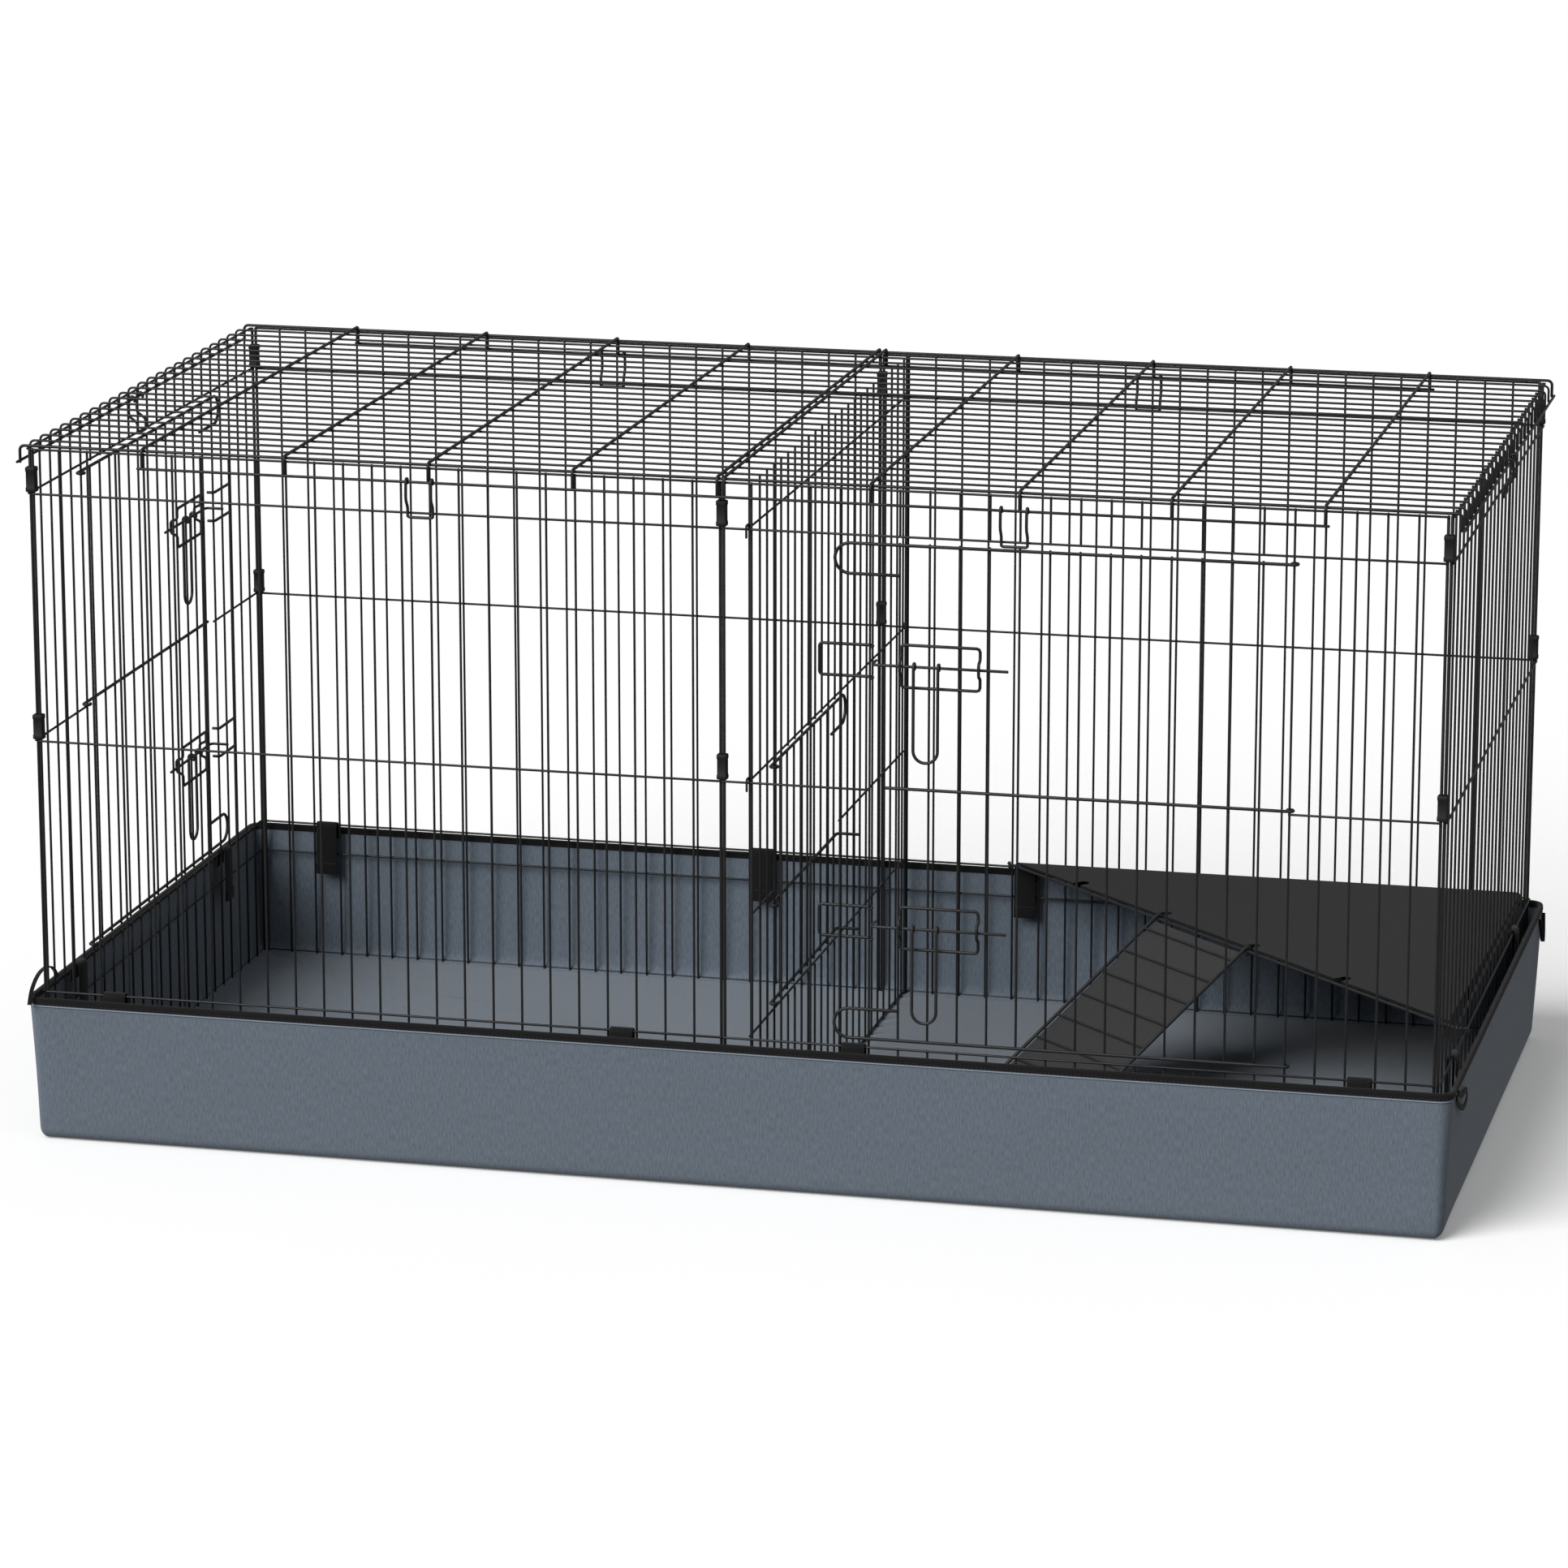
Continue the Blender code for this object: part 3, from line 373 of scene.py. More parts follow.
def guide(start, z):
    """The loop the bolt slides behind, whose two short sides bow out round it."""
    end, y = start + 66.0, GUIDE_Y
    half_jog = [(-9.5, y), (-7.5, -3.7), (-5.6, -8.1), (-3.8, -9.0)]
    jog = half_jog + [(-rise, out) for rise, out in half_jog[::-1]]
    below = [(start + 3, -18.4), (end - 3, -18.4), (end - 0.8, -17.6), (end, -15.4)]
    above = [(end, 14.3), (end - 0.8, 16.5), (end - 3, 17.3)]
    above += [(start + 3, 17.3), (start + 0.8, 16.5), (start, 14.3)]
    outline = [(x, y, z + rise) for x, rise in below]
    outline += [(end, out, z + rise) for rise, out in jog]
    outline += [(x, y, z + rise) for x, rise in above]
    outline += [(start, out, z + rise) for rise, out in jog[::-1]]
    outline += [(start, y, z - 15.4), (start + 0.8, y, z - 17.6)]
    return (LATCH, outline, True)


def door_mesh():
    width = DOOR_HINGE - DOOR_KEEPER
    free = PITCH - width
    top, middle, bottom = DOOR_BARS
    routes = [
        door_bar(curl(free, top, -1), top),
        door_bar([(free - 11.5, BAR_Y, middle)], middle),
        door_bar(curl(free, bottom, 1), bottom),
    ]
    routes += [guide(27.0 - width, z) for z in LATCH_Z]
    places = [(x, bottom - 2.0, top + 1.7) for x in bars_between(free, -PITCH)]
    routes += [upright(x, UP_Y, low, high) for x, low, high in places]
    levels = [(z, free - 1.0, 0.0) for z in DOOR_BARS]
    return wire_mesh("door", routes, crossings(places, levels, DOOR_WELD_Y))


def bolt_mesh():
    route = rounded([(3.0, 17.0, 0), (3.0, 0, 0), (117.3, 0, 0)], 4.0, 10)
    return wire_mesh("bolt", [(BOLT, route, False)])


def handle_mesh():
    left, right = 38.5, 59.0
    eyes = [arc((x, 0, 0), (0, -1, 0), (0, 0, 1), 2.8, 250, -250, 14) for x in (left, right)]
    legs = [(left, -2.8, -0.3), (left, -2.8, -80.0), (right, -2.8, -80.0), (right, -2.8, -0.3)]
    return wire_mesh("handle", [(LATCH, eyes[0] + rounded(legs, 10.0, 10)[1:-1] + eyes[1][::-1], False)])


def build_panels():
    plain, doorway = panel_mesh(False), panel_mesh(True)
    for name, mesh, location, turn in (
        ("panel_front_left", plain, (-300, -300, 0), 0),
        ("panel_front_right", doorway, (300, -300, 0), 0),
        ("panel_back_left", plain, (-300, 300, 0), 180),
        ("panel_back_right", plain, (300, 300, 0), 180),
        ("panel_left_end", doorway, (-END_X, 0, 0), -90),
        ("panel_right_end", plain, (END_X, 0, 0), 90),
    ):
        settle(f"wires_{name}", mesh, WIRE, "cage", [name], location, turn)


def build_doors():
    door, bolt, handle = door_mesh(), bolt_mesh(), handle_mesh()
    for side, turn, middle in (("front", 0, Vector((300, -300, 0))), ("left", -90, Vector((-END_X, 0, 0)))):
        spin = Matrix.Rotation(math.radians(turn), 3, "Z")
        hinge = middle + spin @ Vector((DOOR_HINGE, 0, 0))
        name = f"door_{side}"
        settle(f"wires_{name}", door, WIRE, name, [name], hinge, turn)
        for which, z in zip(("upper", "lower"), LATCH_Z):
            axis = middle + spin @ Vector((DOOR_KEEPER, BOLT_Y, z))
            for kind, mesh in (("bolt", bolt), ("handle", handle)):
                name = f"{kind}_{side}_{which}"
                settle(f"wires_{name}", mesh, LATCH_COAT, name, [name], axis, turn)


# Divider --------------------------------------------------------------------------------------------


def hooked_level(z):
    """A level wire of the divider whose ends step up and hook down over the front and back panels."""
    end, out, up = 295.8, 305.4, z + 3.6
    side = [(end, LEVEL_Y, z), (end + 3.0, LEVEL_Y, up), (out, LEVEL_Y, up), (out, LEVEL_Y, z - 7.0)]
    bent = rounded(side, 1.4, 4)
    return (THIN, [Vector((-p.x, p.y, p.z)) for p in bent[::-1]] + bent, False)


def build_divider():
    end = 296.9
    levels = [(z, -end, end) for z in (HIGH_Z, MIDDLE_Z, DIVIDER_RIM_Z, BOTTOM_Z)]
    levels.append((DIVIDER_LOW_Z, -end, DIVIDER_KEEPER + 1.0))
    levels.append((DIVIDER_LOW_Z, DIVIDER_HINGE - 1.0, end))
    uprights = []
    for x in bars_between(-284.0, 266.0):
        if DIVIDER_KEEPER < x < DIVIDER_HINGE:
            uprights += [(x, MIDDLE_Z - 0.8, TOP_Z), (x, UPRIGHT_Z[0], DIVIDER_RIM_Z + 0.8)]
        else:
            uprights.append((x, UPRIGHT_Z[0], TOP_Z))
    routes = [hooked_level(HIGH_Z), hooked_level(MIDDLE_Z)]
    routes += [straight(THIN, (a, LEVEL_Y, z), (b, LEVEL_Y, z)) for z, a, b in levels[2:]]
    routes += [upright(x, 0, low, high) for x, low, high in uprights]
    edges = [(side * DIVIDER_EDGE, UPRIGHT_Z[0], TOP_Z) for side in (-1, 1)]
    routes += [upright(x, 0, low, high, EDGE) for x, low, high in edges]
    mesh = wire_mesh("divider", routes, crossings(uprights + edges, levels, LEVEL_Y / 2))
    settle("wires_divider", mesh, WIRE, "cage", ["divider"], (DIVIDER_X, 0, 0), -90)

    free = DIVIDER_KEEPER - DIVIDER_HINGE + PITCH
    top, middle, bottom = DIVIDER_BARS
    tip = -31.0 - DIVIDER_HINGE
    routes = [door_bar(curl(free, top, -1), top)]
    for z in (middle, bottom):
        bent = rounded([(tip, 17.0, z), (tip, BAR_Y, z), (free, BAR_Y, z)], 4.0)
        routes.append(door_bar(bent, z))
    places = [(x, bottom - 2.0, top + 1.7) for x in bars_between(free, -PITCH)]
    routes += [upright(x, UP_Y, low, high) for x, low, high in places]
    levels = [(z, free - 1.0, 0.0) for z in DIVIDER_BARS]
    mesh = wire_mesh("divider_door", routes, crossings(places, levels, DOOR_WELD_Y))
    location = (DIVIDER_X, -DIVIDER_HINGE, 0)
    settle("wires_door_divider", mesh, WIRE, "door_divider", ["door_divider"], location, -90)


# Lid ------------------------------------------------------------------------------------------------


def over_lid(half, top):
    """Corners of a lid wire, along its length and in height: up from one rim, over and down to the other."""
    foot = RIM_WIRE_Z - 1.0
    return ((-half, foot), (-half, top), (half, top), (half, foot))


def build_lid():
    routes, welds = [], []
    for x in [side * x for side in (-1, 1) for x in LID_CROSS_X]:
        outline = [(x, y, z) for y, z in over_lid(LID_LEG[1], LID_CROSS_Z)]
        routes.append((BAR, rounded(outline, 4.0), False))
        welds += [(x, y, 608.6) for y in bars_between(-HALF_DEPTH, HALF_DEPTH)]
        welds += [(x, side * 305.7, RIM_WIRE_Z) for side in (-1, 1)]
    for y in bars_between(-HALF_DEPTH, HALF_DEPTH):
        z, diameter = (LID_EDGE_Z, CLIP) if abs(y) == HALF_DEPTH else (LID_Z, THIN)
        outline = [(x, y, height) for x, height in over_lid(LID_LEG[0], z)]
        routes.append((diameter, rounded(outline, 4.0), False))
        welds += [(side * 610.5, y, RIM_WIRE_Z) for side in (-1, 1)]
    for x, y in ((side * LID_RIM[0], side * LID_RIM[1]) for side in (-1, 1)):
        routes.append(straight(RIM, (x, -303.0, RIM_WIRE_Z), (x, 303.0, RIM_WIRE_Z)))
        routes.append(straight(RIM, (-504.0, y, RIM_WIRE_Z), (504.0, y, RIM_WIRE_Z)))
    settle("wires_lid", wire_mesh("lid", routes, welds), WIRE, "lid", ["lid"])


CLIPS = {
    "lid_clip_front_left": (-257.0, -LID_RIM[1], 0),
    "lid_clip_front_right": (246.0, -LID_RIM[1], 0),
    "lid_clip_back_left": (-256.0, LID_RIM[1], 180),
    "lid_clip_back_right": (245.0, LID_RIM[1], 180),
    "lid_clip_left_end": (-LID_RIM[0], 0.0, -90),
    "lid_clip_right_end": (LID_RIM[0], 0.0, 90),
}


def clip_mesh(inset):
    """A clip hung on the lid's rim, whose foot stands inset towards the panel's second wire."""
    eye = arc((0, 0, 0), (0, -1, 0), (0, 0, 1), CLIP_EYE, 230, -230, 14)
    leg = [(-2.75, -1.0), (-3.1, -7.0), (-3.25, -12.0), (-2.6, -15.5), (inset - 1.2, -20.0)]
    leg += [(inset, -22.5), (inset, -26.5)]
    side = [p - Vector((CLIP_HALF, 0, 0)) for p in eye]
    side += [Vector((-CLIP_HALF, y, z)) for y, z in leg]
    side += [Vector((x, inset, z)) for x, z in ((-CLIP_HALF, -29.2), (-9.9, -30.0), (-8.0, -30.2))]
    route = side + [Vector((-p.x, p.y, p.z)) for p in side[::-1]]
    return wire_mesh("clip", [(CLIP, route, False)])


def build_clips():
    for name, (x, y, turn) in CLIPS.items():
        inset = LID_RIM[0] - 606.7 if y == 0 else LID_RIM[1] - 305.0
        settle(f"wires_{name}", clip_mesh(inset), LATCH_COAT, name, [name],
               (x, y, RIM_WIRE_Z), turn)


# Connectors -----------------------------------------------------------------------------------------


def sleeve_mesh(width, depth, hole_width, hole_depth):
    """A moulded sleeve with soft edges and a shallow waist, open at both ends."""
    height, soft, waist = 21.5, 0.7, 0.35
    half = [(0, soft), (0.25, 0.3), (soft, 0.0), (3.6, 0.0), (4.2, waist)]
    profile = half + [(height - z, tuck) for z, tuck in half[::-1]]
    sections = [(width / 2 - tuck, depth / 2 - tuck, 1.3, z) for z, tuck in profile]
    sections += [(hole_width / 2, hole_depth / 2, 0.6, z) for z in (height, 0)]
    bm = bmesh.new()
    rings = []
    for half_w, half_d, corner, z in sections:
        ring = []
        for cx, cy, start in ((1, 1, 0), (-1, 1, 90), (-1, -1, 180), (1, -1, 270)):
            for k in range(5):
                a = math.radians(start + 90 * k / 4)
                x = cx * (half_w - corner) + corner * math.cos(a)
                y = cy * (half_d - corner) + corner * math.sin(a)
                ring.append(bm.verts.new((x * MM, y * MM, (z - height / 2) * MM)))
        rings.append(ring)
    for lower, upper in zip(rings, rings[1:] + rings[:1]):
        for k in range(len(lower)):
            after = (k + 1) % len(lower)
            bm.faces.new((lower[k], lower[after], upper[after], upper[k]))
    return finished(bm, "sleeve", 35.0)


def build_connectors():
    post, corner = sleeve_mesh(9.0, 8.0, 6.0, 3.4), sleeve_mesh(9.2, 8.6, 6.2, 4.8)
    for name, x, y, mesh in (
        ("front_left", -599.95, -299.3, corner),
        ("front_middle", 0, -300, post),
        ("front_right", 599.95, -299.3, corner),
        ("back_left", -599.95, 299.3, corner),
        ("back_middle", 0, 300, post),
        ("back_right", 599.95, 299.3, corner),
    ):
        for which, z in (("upper", HIGH_Z), ("lower", MIDDLE_Z)):
            node = f"connector_{name}_{which}"
            settle(f"sleeve_{name}_{which}", mesh, PLASTIC, "cage", [node],
                   (x, y, z + SLEEVE_RISE))


# Tray -----------------------------------------------------------------------------------------------

TRAY_RIM, TRAY_FOOT = (615.0, 310.4), (608.5, 308.0)
WALL, TRAY_HIGH, FREE_HEIGHT = 3.0, 126.0, 121.0
FOLD_Z, STITCH_Z = 120.0, 122.6
OUTER_FILLET, INNER_FILLET = 9.0, 9.0
LEVELS = (22, 40, 60, 80, 98, 112, 119, TRAY_HIGH)


def outline(half_x, half_y, corner, step=18.0):
    """Points round a rounded oblong, from the middle of its right side, with each one's outward direction."""
    points = []
    straight_x, straight_y = half_x - corner, half_y - corner
    sides = (
        ((half_x, -straight_y), (0, 1), 2 * straight_y, (1, 0)),
        ((straight_x, half_y), (-1, 0), 2 * straight_x, (0, 1)),
        ((-half_x, straight_y), (0, -1), 2 * straight_y, (-1, 0)),
        ((-straight_x, -half_y), (1, 0), 2 * straight_x, (0, -1)),
    )
    for (x, y), (dx, dy), length, (nx, ny) in sides:
        count = max(2, round(length / step))
        for k in range(count + 1):
            along = length * k / count
            points.append((Vector((x + dx * along, y + dy * along)), Vector((nx, ny))))
        centre = Vector((x + dx * length - nx * corner, y + dy * length - ny * corner))
        for k in range(1, 6):
            a = math.radians(90 * k / 6)
            out = Vector((nx * math.cos(a) + dx * math.sin(a), ny * math.cos(a) + dy * math.sin(a)))
            points.append((centre + out * corner, out))
    return points


RING = outline(*TRAY_RIM, 12.0)
RING_LENGTH = [0.0]
for (here, _), (there, _) in zip(RING, RING[1:] + RING[:1]):
    RING_LENGTH.append(RING_LENGTH[-1] + (there - here).length)


def sway(spot, z):
    """How far the stiffened cloth stands off its true plane: a slow ripple, one fold and one bulge."""
    free = math.sin(math.pi * min(max(z / FREE_HEIGHT, 0.0), 1.0))
    off = 1.1 * noise.noise(Vector((spot.x * 0.006, spot.y * 0.006, z * 0.012))) * free
    if spot.x > 600 and z > 8:
        off -= 1.7 * math.exp(-(((spot.y - 262) / 7.0) ** 2)) * free
    corner = (spot - Vector((612, -306))).length
    return off + 1.6 * math.exp(-((corner / 40.0) ** 2)) * math.exp(-(((z - 22) / 16.0) ** 2))


def ring_at(z, inset, soft=0.0):
    """The tray's wall at a height, drawn in by inset and by the soft bend at its foot."""
    share = min(max(z / FREE_HEIGHT, 0.0), 1.0)
    foot = (TRAY_RIM[0] - TRAY_FOOT[0], TRAY_RIM[1] - TRAY_FOOT[1])
    ring = []
    for spot, out in RING:
        lean = Vector((out.x * foot[0], out.y * foot[1])) * (share - 1)
        place = spot + lean + out * (sway(spot, z) - inset - soft)
        ring.append(Vector((place.x, place.y, z)))
    return ring


def lofted(rings, cap_first=None, cap_last=None, name="loft", smooth=50.0):
    """A skin through rings of equal count, with the flat layout it would have if it were unrolled."""
    bm = bmesh.new()
    uv = bm.loops.layers.uv.new("flat")
    rows = [[bm.verts.new(p * MM) for p in ring] for ring in rings]
    heights, sample = [0.0], 3
    for before, after in zip(rings, rings[1:]):
        heights.append(heights[-1] + (after[sample] - before[sample]).length * MM)
    for j in range(len(rows) - 1):
        for k in range(len(rows[j])):
            after = (k + 1) % len(rows[j])
            face = bm.faces.new((rows[j][k], rows[j][after], rows[j + 1][after], rows[j + 1][k]))
            across = (RING_LENGTH[k] * MM, RING_LENGTH[k + 1] * MM)
            flat = ((across[0], heights[j]), (across[1], heights[j]))
            flat += ((across[1], heights[j + 1]), (across[0], heights[j + 1]))
            for loop, place in zip(face.loops, flat):
                loop[uv].uv = place
    for row in [r for r, wanted in ((rows[0], cap_first), (rows[-1], cap_last)) if wanted]:
        face = bm.faces.new(row)
        for loop in face.loops:
            loop[uv].uv = loop.vert.co.xy
    bmesh.ops.remove_doubles(bm, verts=bm.verts, dist=1e-6)
    return finished(bm, name, smooth)


def tray_mesh():
    outer = []
    for k in range(7):
        a = math.radians(90 * k / 6)
        outer.append(ring_at(OUTER_FILLET * (1 - math.cos(a)), 0.0, OUTER_FILLET * (1 - math.sin(a))))
    outer += [ring_at(z, 0.0) for z in LEVELS]
    inner = [ring_at(z, WALL) for z in (*LEVELS[::-1], WALL + INNER_FILLET)]
    for k in range(1, 5):
        a = math.radians(90 * k / 4)
        z = WALL + INNER_FILLET * (1 - math.sin(a))
        inner.append(ring_at(z, WALL, INNER_FILLET * (1 - math.cos(a))))
    floor = inner[-1]
    for share in (0.985, 0.93, 0.8, 0.6, 0.35):
        row = []
        for p in floor:
            swell = 0.35 * noise.noise(Vector((p.x * share * 0.008, p.y * share * 0.008, 4.0)))
            row.append(Vector((p.x * share, p.y * share, WALL + swell)))
        inner.append(row)
    return lofted(outer + inner, True, True, "tray")


def binding_mesh():
    """Tape folded over the rim: inset and height round its outer face, then back along its inner face."""
    profile = [(-0.75, 121.4), (-0.95, 123.0), (-0.9, 125.4), (-0.3, 126.9), (1.3, 127.5), (2.9, 126.9)]
    profile += [(3.6, 125.4), (3.7, 123.0), (3.5, 121.4)]
    inside = [(2.95, 121.4), (3.05, 123.0), (3.0, 125.2), (2.5, 126.1), (1.3, 126.6), (0.1, 126.1)]
    inside += [(-0.35, 125.2), (-0.35, 123.0), (-0.2, 121.4)]
    rings = []
    for inset, z in profile + inside + profile[:1]:
        rings.append([Vector((p.x, p.y, z)) for p in ring_at(FREE_HEIGHT, inset)])
    return lofted(rings, name="binding")


def stitch_mesh():
    """A running stitch round the binding."""
    stitch, thick = 3.6, 0.22
    bm = bmesh.new()
    path = ring_at(FREE_HEIGHT, -1.0)
    for a, b in zip(path, path[1:] + path[:1]):
        count = max(1, round((b - a).length / stitch))
        for j in range(count):
            start, end = a.lerp(b, (j + 0.2) / count), a.lerp(b, (j + 0.8) / count)
            middle, reach = (start + end) / 2, end - start
            turn = Matrix.Rotation(math.atan2(reach.y, reach.x), 4, "Z")
            size = Matrix.Diagonal((reach.length / 2 * MM, thick * MM, thick * MM, 1.0))
            where = Matrix.Translation(Vector((middle.x, middle.y, STITCH_Z)) * MM)
            bmesh.ops.create_icosphere(bm, subdivisions=1, radius=1.0, matrix=where @ turn @ size)
    return finished(bm, "stitches")


def build_tray():
    tray = settle("fabric_tray", tray_mesh(), GREY, "cage", ["tray"])
    # A thin ridge just under the binding, coloured lighter as a painted highlight along the fold.
    ring = [Vector((p.x, p.y, FOLD_Z)) for p in ring_at(FOLD_Z, -0.35)]
    fold = finished(tubes([(1.1, ring, True)], "piping", 2), "piping")
    piping = settle("tray_fold_line", fold, FOLD_PAINTED_HIGHLIGHT, "cage")
    loops = build_corner_loops()

    binding = settle("rim_binding", binding_mesh(), TAPE, "cage", ["tray_binding"])
    stitches = settle("rim_stitches", stitch_mesh(), THREAD, "cage")


RIBBON_TOP = ((-1, 0.6), (-0.94, 1), (0.94, 1), (1, 0.6))
RIBBON_EDGE = (*RIBBON_TOP, *((-along, -lift) for along, lift in RIBBON_TOP))


def ribbon(name, path, across, thickness):
    """A flat tape along a path: across gives the direction and size of its width, in millimetres."""
    bm = bmesh.new()
    uv = bm.loops.layers.uv.new("flat")
    rows, length = [], [0.0]
    for k, point in enumerate(path):
        before, after = path[max(k - 1, 0)], path[min(k + 1, len(path) - 1)]
        out = across.cross((after - before).normalized()).normalized() * (thickness / 2)
        side = across / 2
        rows.append([bm.verts.new((point + side * along + out * lift) * MM) for along, lift in RIBBON_EDGE])
        if k:
            length.append(length[-1] + (point - before).length * MM)
    width = across.length * MM
    for k, (lower, upper) in enumerate(zip(rows, rows[1:])):
        for j in range(8):
            face = bm.faces.new((lower[j], lower[(j + 1) % 8], upper[(j + 1) % 8], upper[j]))
            for loop, (u, v) in zip(face.loops, ((0, k), (1, k), (1, k + 1), (0, k + 1))):
                loop[uv].uv = (width * (j + u) / 3, length[v])
    bm.faces.new(rows[0][::-1])
    bm.faces.new(rows[-1])
    return finished(bm, name, 35.0)


def hanging(side):
    """The path of a loop that hangs below the binding near a back corner."""
    path = [(617.0, 268, 121), (618.0, 272, 108), (618.6, 279, 98), (618.0, 287, 104), (617.0, 292, 121)]
    return [(side * x, y, z) for x, y, z in path]


FRONT_LEFT_LOOP = [
    (-610.2, -246, 122),
    (-609.6, -250, 132),
    (-609, -262, 141),
    (-608.6, -280, 145.5),
    (-608.8, -298, 143),
    (-609.4, -311, 134),
    (-610.2, -316, 122),
]
FRONT_RIGHT_LOOP = [
    (616.2, -292, 119),
    (616.9, -280, 110),
    (617.2, -258, 101),
    (617.4, -238, 100),
    (617.3, -232, 106),
    (617.1, -240, 111),
    (616.9, -262, 113),
    (616.2, -280, 120),
]


def build_corner_loops():
    """Loops of thin webbing sewn under the binding at the tray's corners, hanging as they fell."""
    loops = []
    for name, path, across in (
        ("front_left", FRONT_LEFT_LOOP, (3.6, 0, 0)),
        ("front_right", FRONT_RIGHT_LOOP, (0, 0, 5)),
        ("back_right", hanging(1), (3.6, 0, 0)),
        ("back_left", hanging(-1), (3.6, 0, 0)),
    ):
        points = smooth_path([Vector(p) for p in path], 5)
        mesh = ribbon(f"loop_{name}", points, Vector(across), 1.1)
        loops.append(settle(f"corner_loop_{name}", mesh, TAPE, "cage"))
    return loops


def smooth_path(points, steps):
    """A rounder path through the same points."""
    padded = [points[0] * 2 - points[1], *points, points[-1] * 2 - points[-2]]
    path = []
    for a, b, c, d in zip(padded, padded[1:], padded[2:], padded[3:]):
        for k in range(steps):
            t = k / steps
            square, cube = a * 2 - b * 5 + c * 4 - d, b * 3 - a - c * 3 + d
            path.append((b * 2 + (c - a) * t + square * t**2 + cube * t**3) / 2)
    return [*path, points[-1]]


STRAPS = {
    "strap_front_1": (-537.5, -300, 0),
    "strap_front_2": (-87.5, -300, 0),
    "strap_front_3": (112.5, -300, 0),
    "strap_front_4": (537.5, -300, 0),
    "strap_back_1": (-537.5, 300, 180),
    "strap_back_2": (-112.5, 300, 180),
    "strap_back_3": (137.5, 300, 180),
    "strap_back_4": (537.5, 300, 180),
    "strap_left_1": (-END_X, 187.5, -90),
    "strap_left_2": (-END_X, -212.5, -90),
    "strap_right_1": (END_X, 187.5, 90),
    "strap_right_2": (END_X, -212.5, 90),
}


def build_straps():
    """Tape over the rim wire: short outer leg, long inner leg that ends in a folded hem."""
    for index, (name, (x, y, turn)) in enumerate(STRAPS.items()):
        slack = 0.3 * noise.noise(Vector((index * 3.1, 0.5, 0.2)))
        over = arc((0, -0.95, 129.4), (0, 1, 0), (0, 0, 1), 4.0, 180, -180, 12)
        path = [Vector((0, -5.0, 117.0)), Vector((0, -5.05, 123.0)), *over]
        path += [Vector((0, 3.1, 120.0)), Vector((0, 3.25 + slack, 108.0)), Vector((0, 3.1, 96.0))]
        path += [Vector((0, 2.9, 85.2)), Vector((0, 3.25, 84.3)), Vector((0, 3.95, 84.3))]
        path += [Vector((0, 4.3, 85.2)), Vector((0, 4.3, 94.5))]
        mesh = ribbon(name, path, Vector((20.0, 0, 0)), 1.15)
        strap = settle(f"tape_{name}", mesh, TAPE, "cage", [name], (x, y, 0), turn)


# Platform and ramp ----------------------------------------------------------------------------------


ALONG = (SLANT_END - SLANT_START).normalized()
SLANT_MIDDLE = SLANT_START.lerp(SLANT_END, RAMP_MIDDLE)


def board_outline(corner):
    """The cover's edge: four rounded slots along the slanted wire, then round the corner of the cage."""
    inward = Vector((-ALONG.y, ALONG.x, 0))
    start = SLANT_START + inward * 1.6
    half_slot = [(-5.6, 0.0), (-5.0, 1.0), (-4.9, 8.0), (-4.3, 10.4), (-2.6, 12.2)]
    slot = [*half_slot, (0, 12.9), *((-across, deep) for across, deep in half_slot[::-1])]
    shape = [start + ALONG * 12.0]
    for middle in SLOT_PLACES:
        for across, deep in slot:
            shape.append(SLANT_MIDDLE + inward * 1.6 + ALONG * (middle + across) + inward * deep)
    shape.append(SLANT_END + inward * 1.6 - ALONG * 12.0)
    return shape + [corner + Vector(v) for v in ((0, -4, 0), (-1.2, -1.2, 0), (-4, 0, 0))]


def build_platform():
    lift, drop = Vector((0, 0, PLATFORM_Z)), Vector((0, 0, -7.0))
    back_out, right_out = Vector((SLANT_START.x, 304.7, 0)), Vector((606.1, SLANT_END.y, 0))
    corner = Vector((SLANT_END.x, 294.3, 0))
    slanted = [back_out + drop, back_out, SLANT_START, SLANT_END, right_out, right_out + drop]
    sides = [Vector((128.4, corner.y, 0)), corner, SLANT_END + Vector((0, 2.0, 0))]
    routes = [(PLATFORM_WIRE, rounded([p + lift for p in wire], 2.0, 5), False) for wire in (slanted, sides)]
    mesh = wire_mesh("platform_wires", routes)
    settle("wires_platform", mesh, LATCH_COAT, "cage", ["platform_frame"])
    board = flat_board("platform_board", board_outline(corner), 2.0)
    # The platform cover's near-black colour holds painted shade.
    cover = settle("platform_cover", board, COVER, "cage", ["platform_sheet"], (0, 0, 137.0))


def flat_board(name, shape, thickness):
    """A thin flat board with softened edges."""
    bm = bmesh.new()
    uv = bm.loops.layers.uv.new("flat")
    centre = sum(shape, Vector()) / len(shape)
    rows = []
    half = thickness / 2
    for z, tuck in ((-half, 0.35), (-half * 0.7, 0.08), (half * 0.7, 0.08), (half, 0.35)):
        ring = [p + (centre - p).normalized() * tuck + Vector((0, 0, z)) for p in shape]
        rows.append([bm.verts.new(p * MM) for p in ring])
    for lower, upper in zip(rows, rows[1:]):
        for k in range(len(shape)):
            after = (k + 1) % len(shape)
            bm.faces.new((lower[k], lower[after], upper[after], upper[k]))
    for row in (rows[0], rows[-1]):
        bm.faces.new(row)
    for face in bm.faces:
        for loop in face.loops:
            loop[uv].uv = loop.vert.co.xy
    bmesh.ops.triangulate(bm, faces=[f for f in bm.faces if len(f.verts) > 4])
    return finished(bm, name, 25.0)


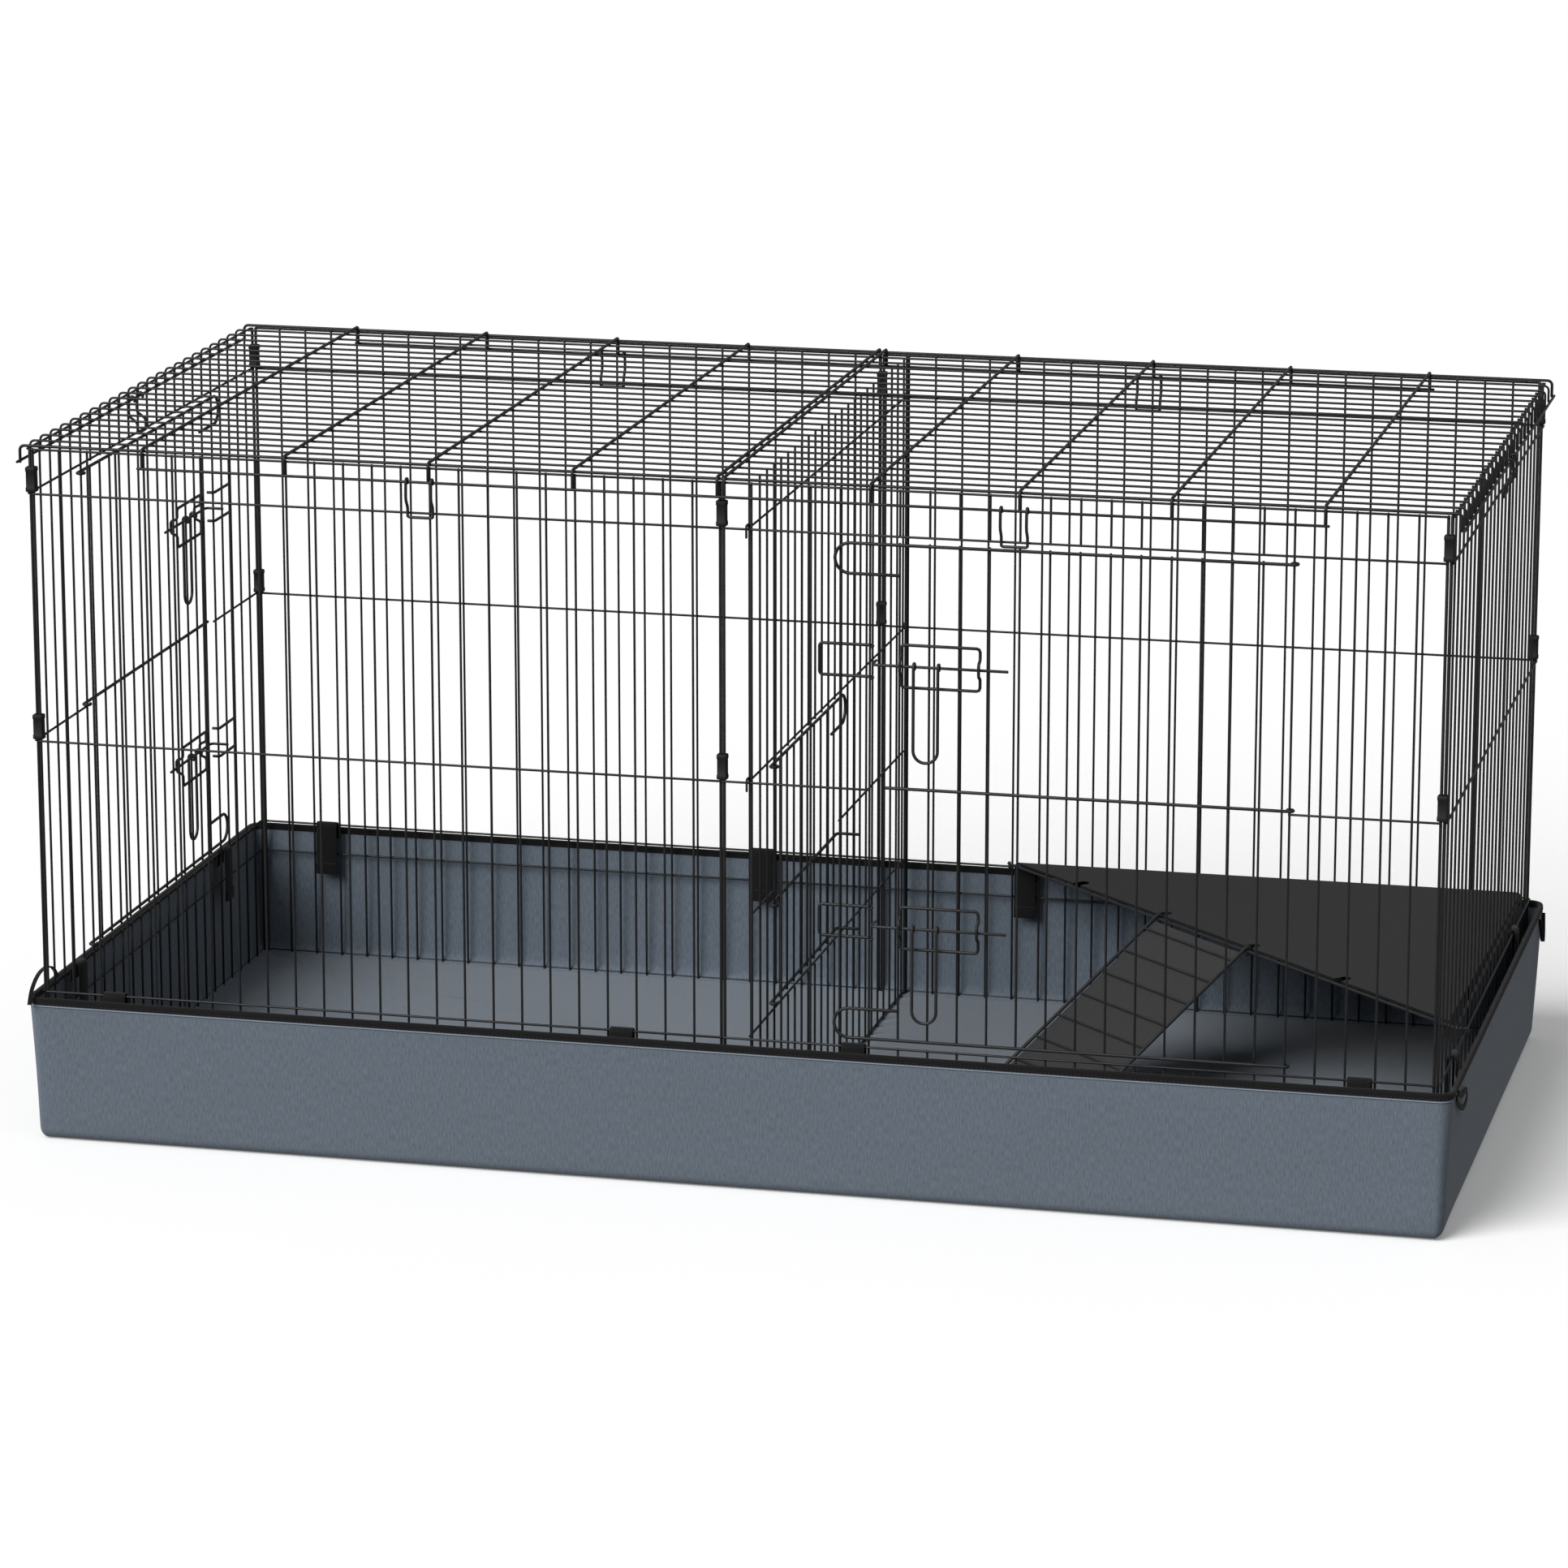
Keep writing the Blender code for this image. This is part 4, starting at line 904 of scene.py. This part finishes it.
def build_ramp():
    slope = math.radians(RAMP_SLOPE)
    down = Vector((0, math.cos(slope), -math.sin(slope)))
    normal = Vector((0, math.sin(slope), math.cos(slope)))
    rail = normal * RAMP_HOOK
    length = (PLATFORM_Z + rail.z - RAMP_FOOT_Z) / math.sin(slope)
    stations = [RUNG_FIRST + RUNG_PITCH * k for k in range(RUNGS)]
    turn = math.degrees(math.atan2(-ALONG.y, -ALONG.x))
    place = SLANT_MIDDLE + Vector((0, 0, PLATFORM_Z))

    routes, welds = [], []
    for x in (-RAMP_HALF, RAMP_HALF):
        hook = arc((x, 0, 0), (0, 1, 0), (0, 0, 1), RAMP_HOOK, 285, 90 - RAMP_SLOPE - 285, 18)
        routes.append((RAIL, [*hook, hook[-1] + down * length], False))
    side = Vector((RAMP_HALF, 0, 0))
    for s in stations:
        middle = rail + down * s
        routes.append(straight(RUNG, middle - side, middle + side))
        welds += [middle - side * 0.974, middle + side * 0.974]
    mesh = wire_mesh("ramp_wires", routes, welds)
    settle("wires_ramp", mesh, LATCH_COAT, "ramp", ["ramp_frame"], place, turn)

    half, start, stop = RAMP_HALF - 2.2, 5.0, length - 6.0

    def under_rungs(x, s, below):
        """A point of the cover, which hangs a little between the rungs."""
        near = min(abs(s - station) for station in stations)
        across = math.sin(math.pi * (x + half) / (2 * half))
        belly = 0.9 * across * (1 - math.exp(-((near / 8.0) ** 2)))
        return Vector((x, 0, 0)) + rail + down * s - normal * (1.45 + below + belly)

    mesh = cover_mesh(under_rungs, half, start, stop, slope)
    # The ramp cover's lighter colour holds painted light.
    cover = settle("ramp_cover", mesh, RAMP_COVER_PAINTED_LIGHT, "ramp", ["ramp_sheet"], place, turn)


def cover_mesh(spot, half, start, stop, slope):
    """A closed thin cover: spot gives a point from its place across, its place along and its depth."""
    columns, rows, thickness = 12, 64, 1.6
    bm = bmesh.new()
    uv = bm.loops.layers.uv.new("flat")
    layers = []
    for below in (0.0, thickness):
        grid = []
        for j in range(rows + 1):
            s = start + (stop - start) * j / rows
            places = [-half + 2 * half * i / columns for i in range(columns + 1)]
            grid.append([bm.verts.new(spot(x, s, below) * MM) for x in places])
        layers.append(grid)
    for grid in layers:
        for j in range(rows):
            for i in range(columns):
                bm.faces.new((grid[j][i], grid[j][i + 1], grid[j + 1][i + 1], grid[j + 1][i]))
    top, under = layers
    rim = [(0, i) for i in range(columns)] + [(j, columns) for j in range(rows)]
    rim += [(rows, i) for i in range(columns, 0, -1)] + [(j, 0) for j in range(rows, 0, -1)]
    for (j, i), (n, m) in zip(rim, rim[1:] + rim[:1]):
        bm.faces.new((top[j][i], top[n][m], under[n][m], under[j][i]))
    for face in bm.faces:
        for loop in face.loops:
            loop[uv].uv = (loop.vert.co.x, loop.vert.co.y / math.cos(slope))
    return finished(bm, "ramp_sheet", 40.0)


# The studio -----------------------------------------------------------------------------------------


def build_camera():
    camera = bpy.data.objects.new("camera", bpy.data.cameras.new("camera"))
    SCENE.collection.objects.link(camera)
    camera.location = (1.2347, -5.2095, 1.6260)
    camera.rotation_euler = (math.radians(90 - 14.15), 0, math.radians(13.54))
    camera.data.sensor_width = 36
    camera.data.lens = 144.4
    camera.data.clip_end = 50
    SCENE.camera = camera


def build_floor():
    """A pale floor that shows the cage's soft shadow but adds no light to the cage."""
    bm = bmesh.new()
    bmesh.ops.create_grid(bm, x_segments=1, y_segments=1, size=12.0)
    mesh = finished(bm, "floor")
    floor = bpy.data.objects.new("floor", mesh)
    floor.location = (0, 0, -0.0006)
    SCENE.collection.objects.link(floor)
    pale, tree, shader = new_material("pale_floor", (0.94, 0.94, 0.94), 0.9)
    shader.inputs["Specular IOR Level"].default_value = 0.0
    shader.inputs["Emission Color"].default_value = (1.0, 1.0, 1.0, 1.0)
    shader.inputs["Emission Strength"].default_value = 0.13
    where = add(tree, "ShaderNodeTexCoord").outputs["Object"]
    cloud = ranged(tree, noise_from(tree, where, 0.7), 0, 1)
    tree.links.new(tinted(tree, cloud, (0.93, 0.93, 0.93), (0.95, 0.95, 0.95)), shader.inputs["Base Color"])
    mesh.materials.append(pale)
    floor.visible_diffuse = False
    floor.visible_glossy = False


def build_world():
    """White behind the cage, and a much weaker white that lights it."""
    world = bpy.data.worlds.new("studio")
    world.use_nodes = True
    tree = world.node_tree
    soft = tree.nodes["Background"]
    soft.inputs["Color"].default_value = (1.0, 1.0, 1.0, 1.0)
    soft.inputs["Strength"].default_value = 0.24
    backdrop = add(tree, "ShaderNodeBackground")
    backdrop.inputs["Color"].default_value = (1.0, 1.0, 1.0, 1.0)
    seen = add(tree, "ShaderNodeLightPath")
    either = add(tree, "ShaderNodeMixShader")
    tree.links.new(seen.outputs["Is Camera Ray"], either.inputs["Fac"])
    tree.links.new(soft.outputs["Background"], either.inputs[1])
    tree.links.new(backdrop.outputs["Background"], either.inputs[2])
    tree.links.new(either.outputs["Shader"], tree.nodes["World Output"].inputs["Surface"])
    SCENE.world = world


def build_lights():
    """A soft key from the front left and above, and a faint top light."""
    for name, toward, strength, spread in (
        ("key", (-0.42, -0.65, 0.62), 3.25, 42),
        ("top", (0.0, -0.2, 1.0), 0.15, 40),
    ):
        light = bpy.data.objects.new(name, bpy.data.lights.new(name, "SUN"))
        light.data.energy = strength
        light.data.angle = math.radians(spread)
        light.rotation_euler = (-Vector(toward)).to_track_quat("-Z", "Y").to_euler()
        SCENE.collection.objects.link(light)


build_camera()
build_floor()
build_world()
build_lights()
SCENE.view_settings.view_transform = "Standard"
build_panels()
build_doors()
build_divider()
build_lid()
build_clips()
build_connectors()
build_tray()
build_straps()
build_platform()
build_ramp()
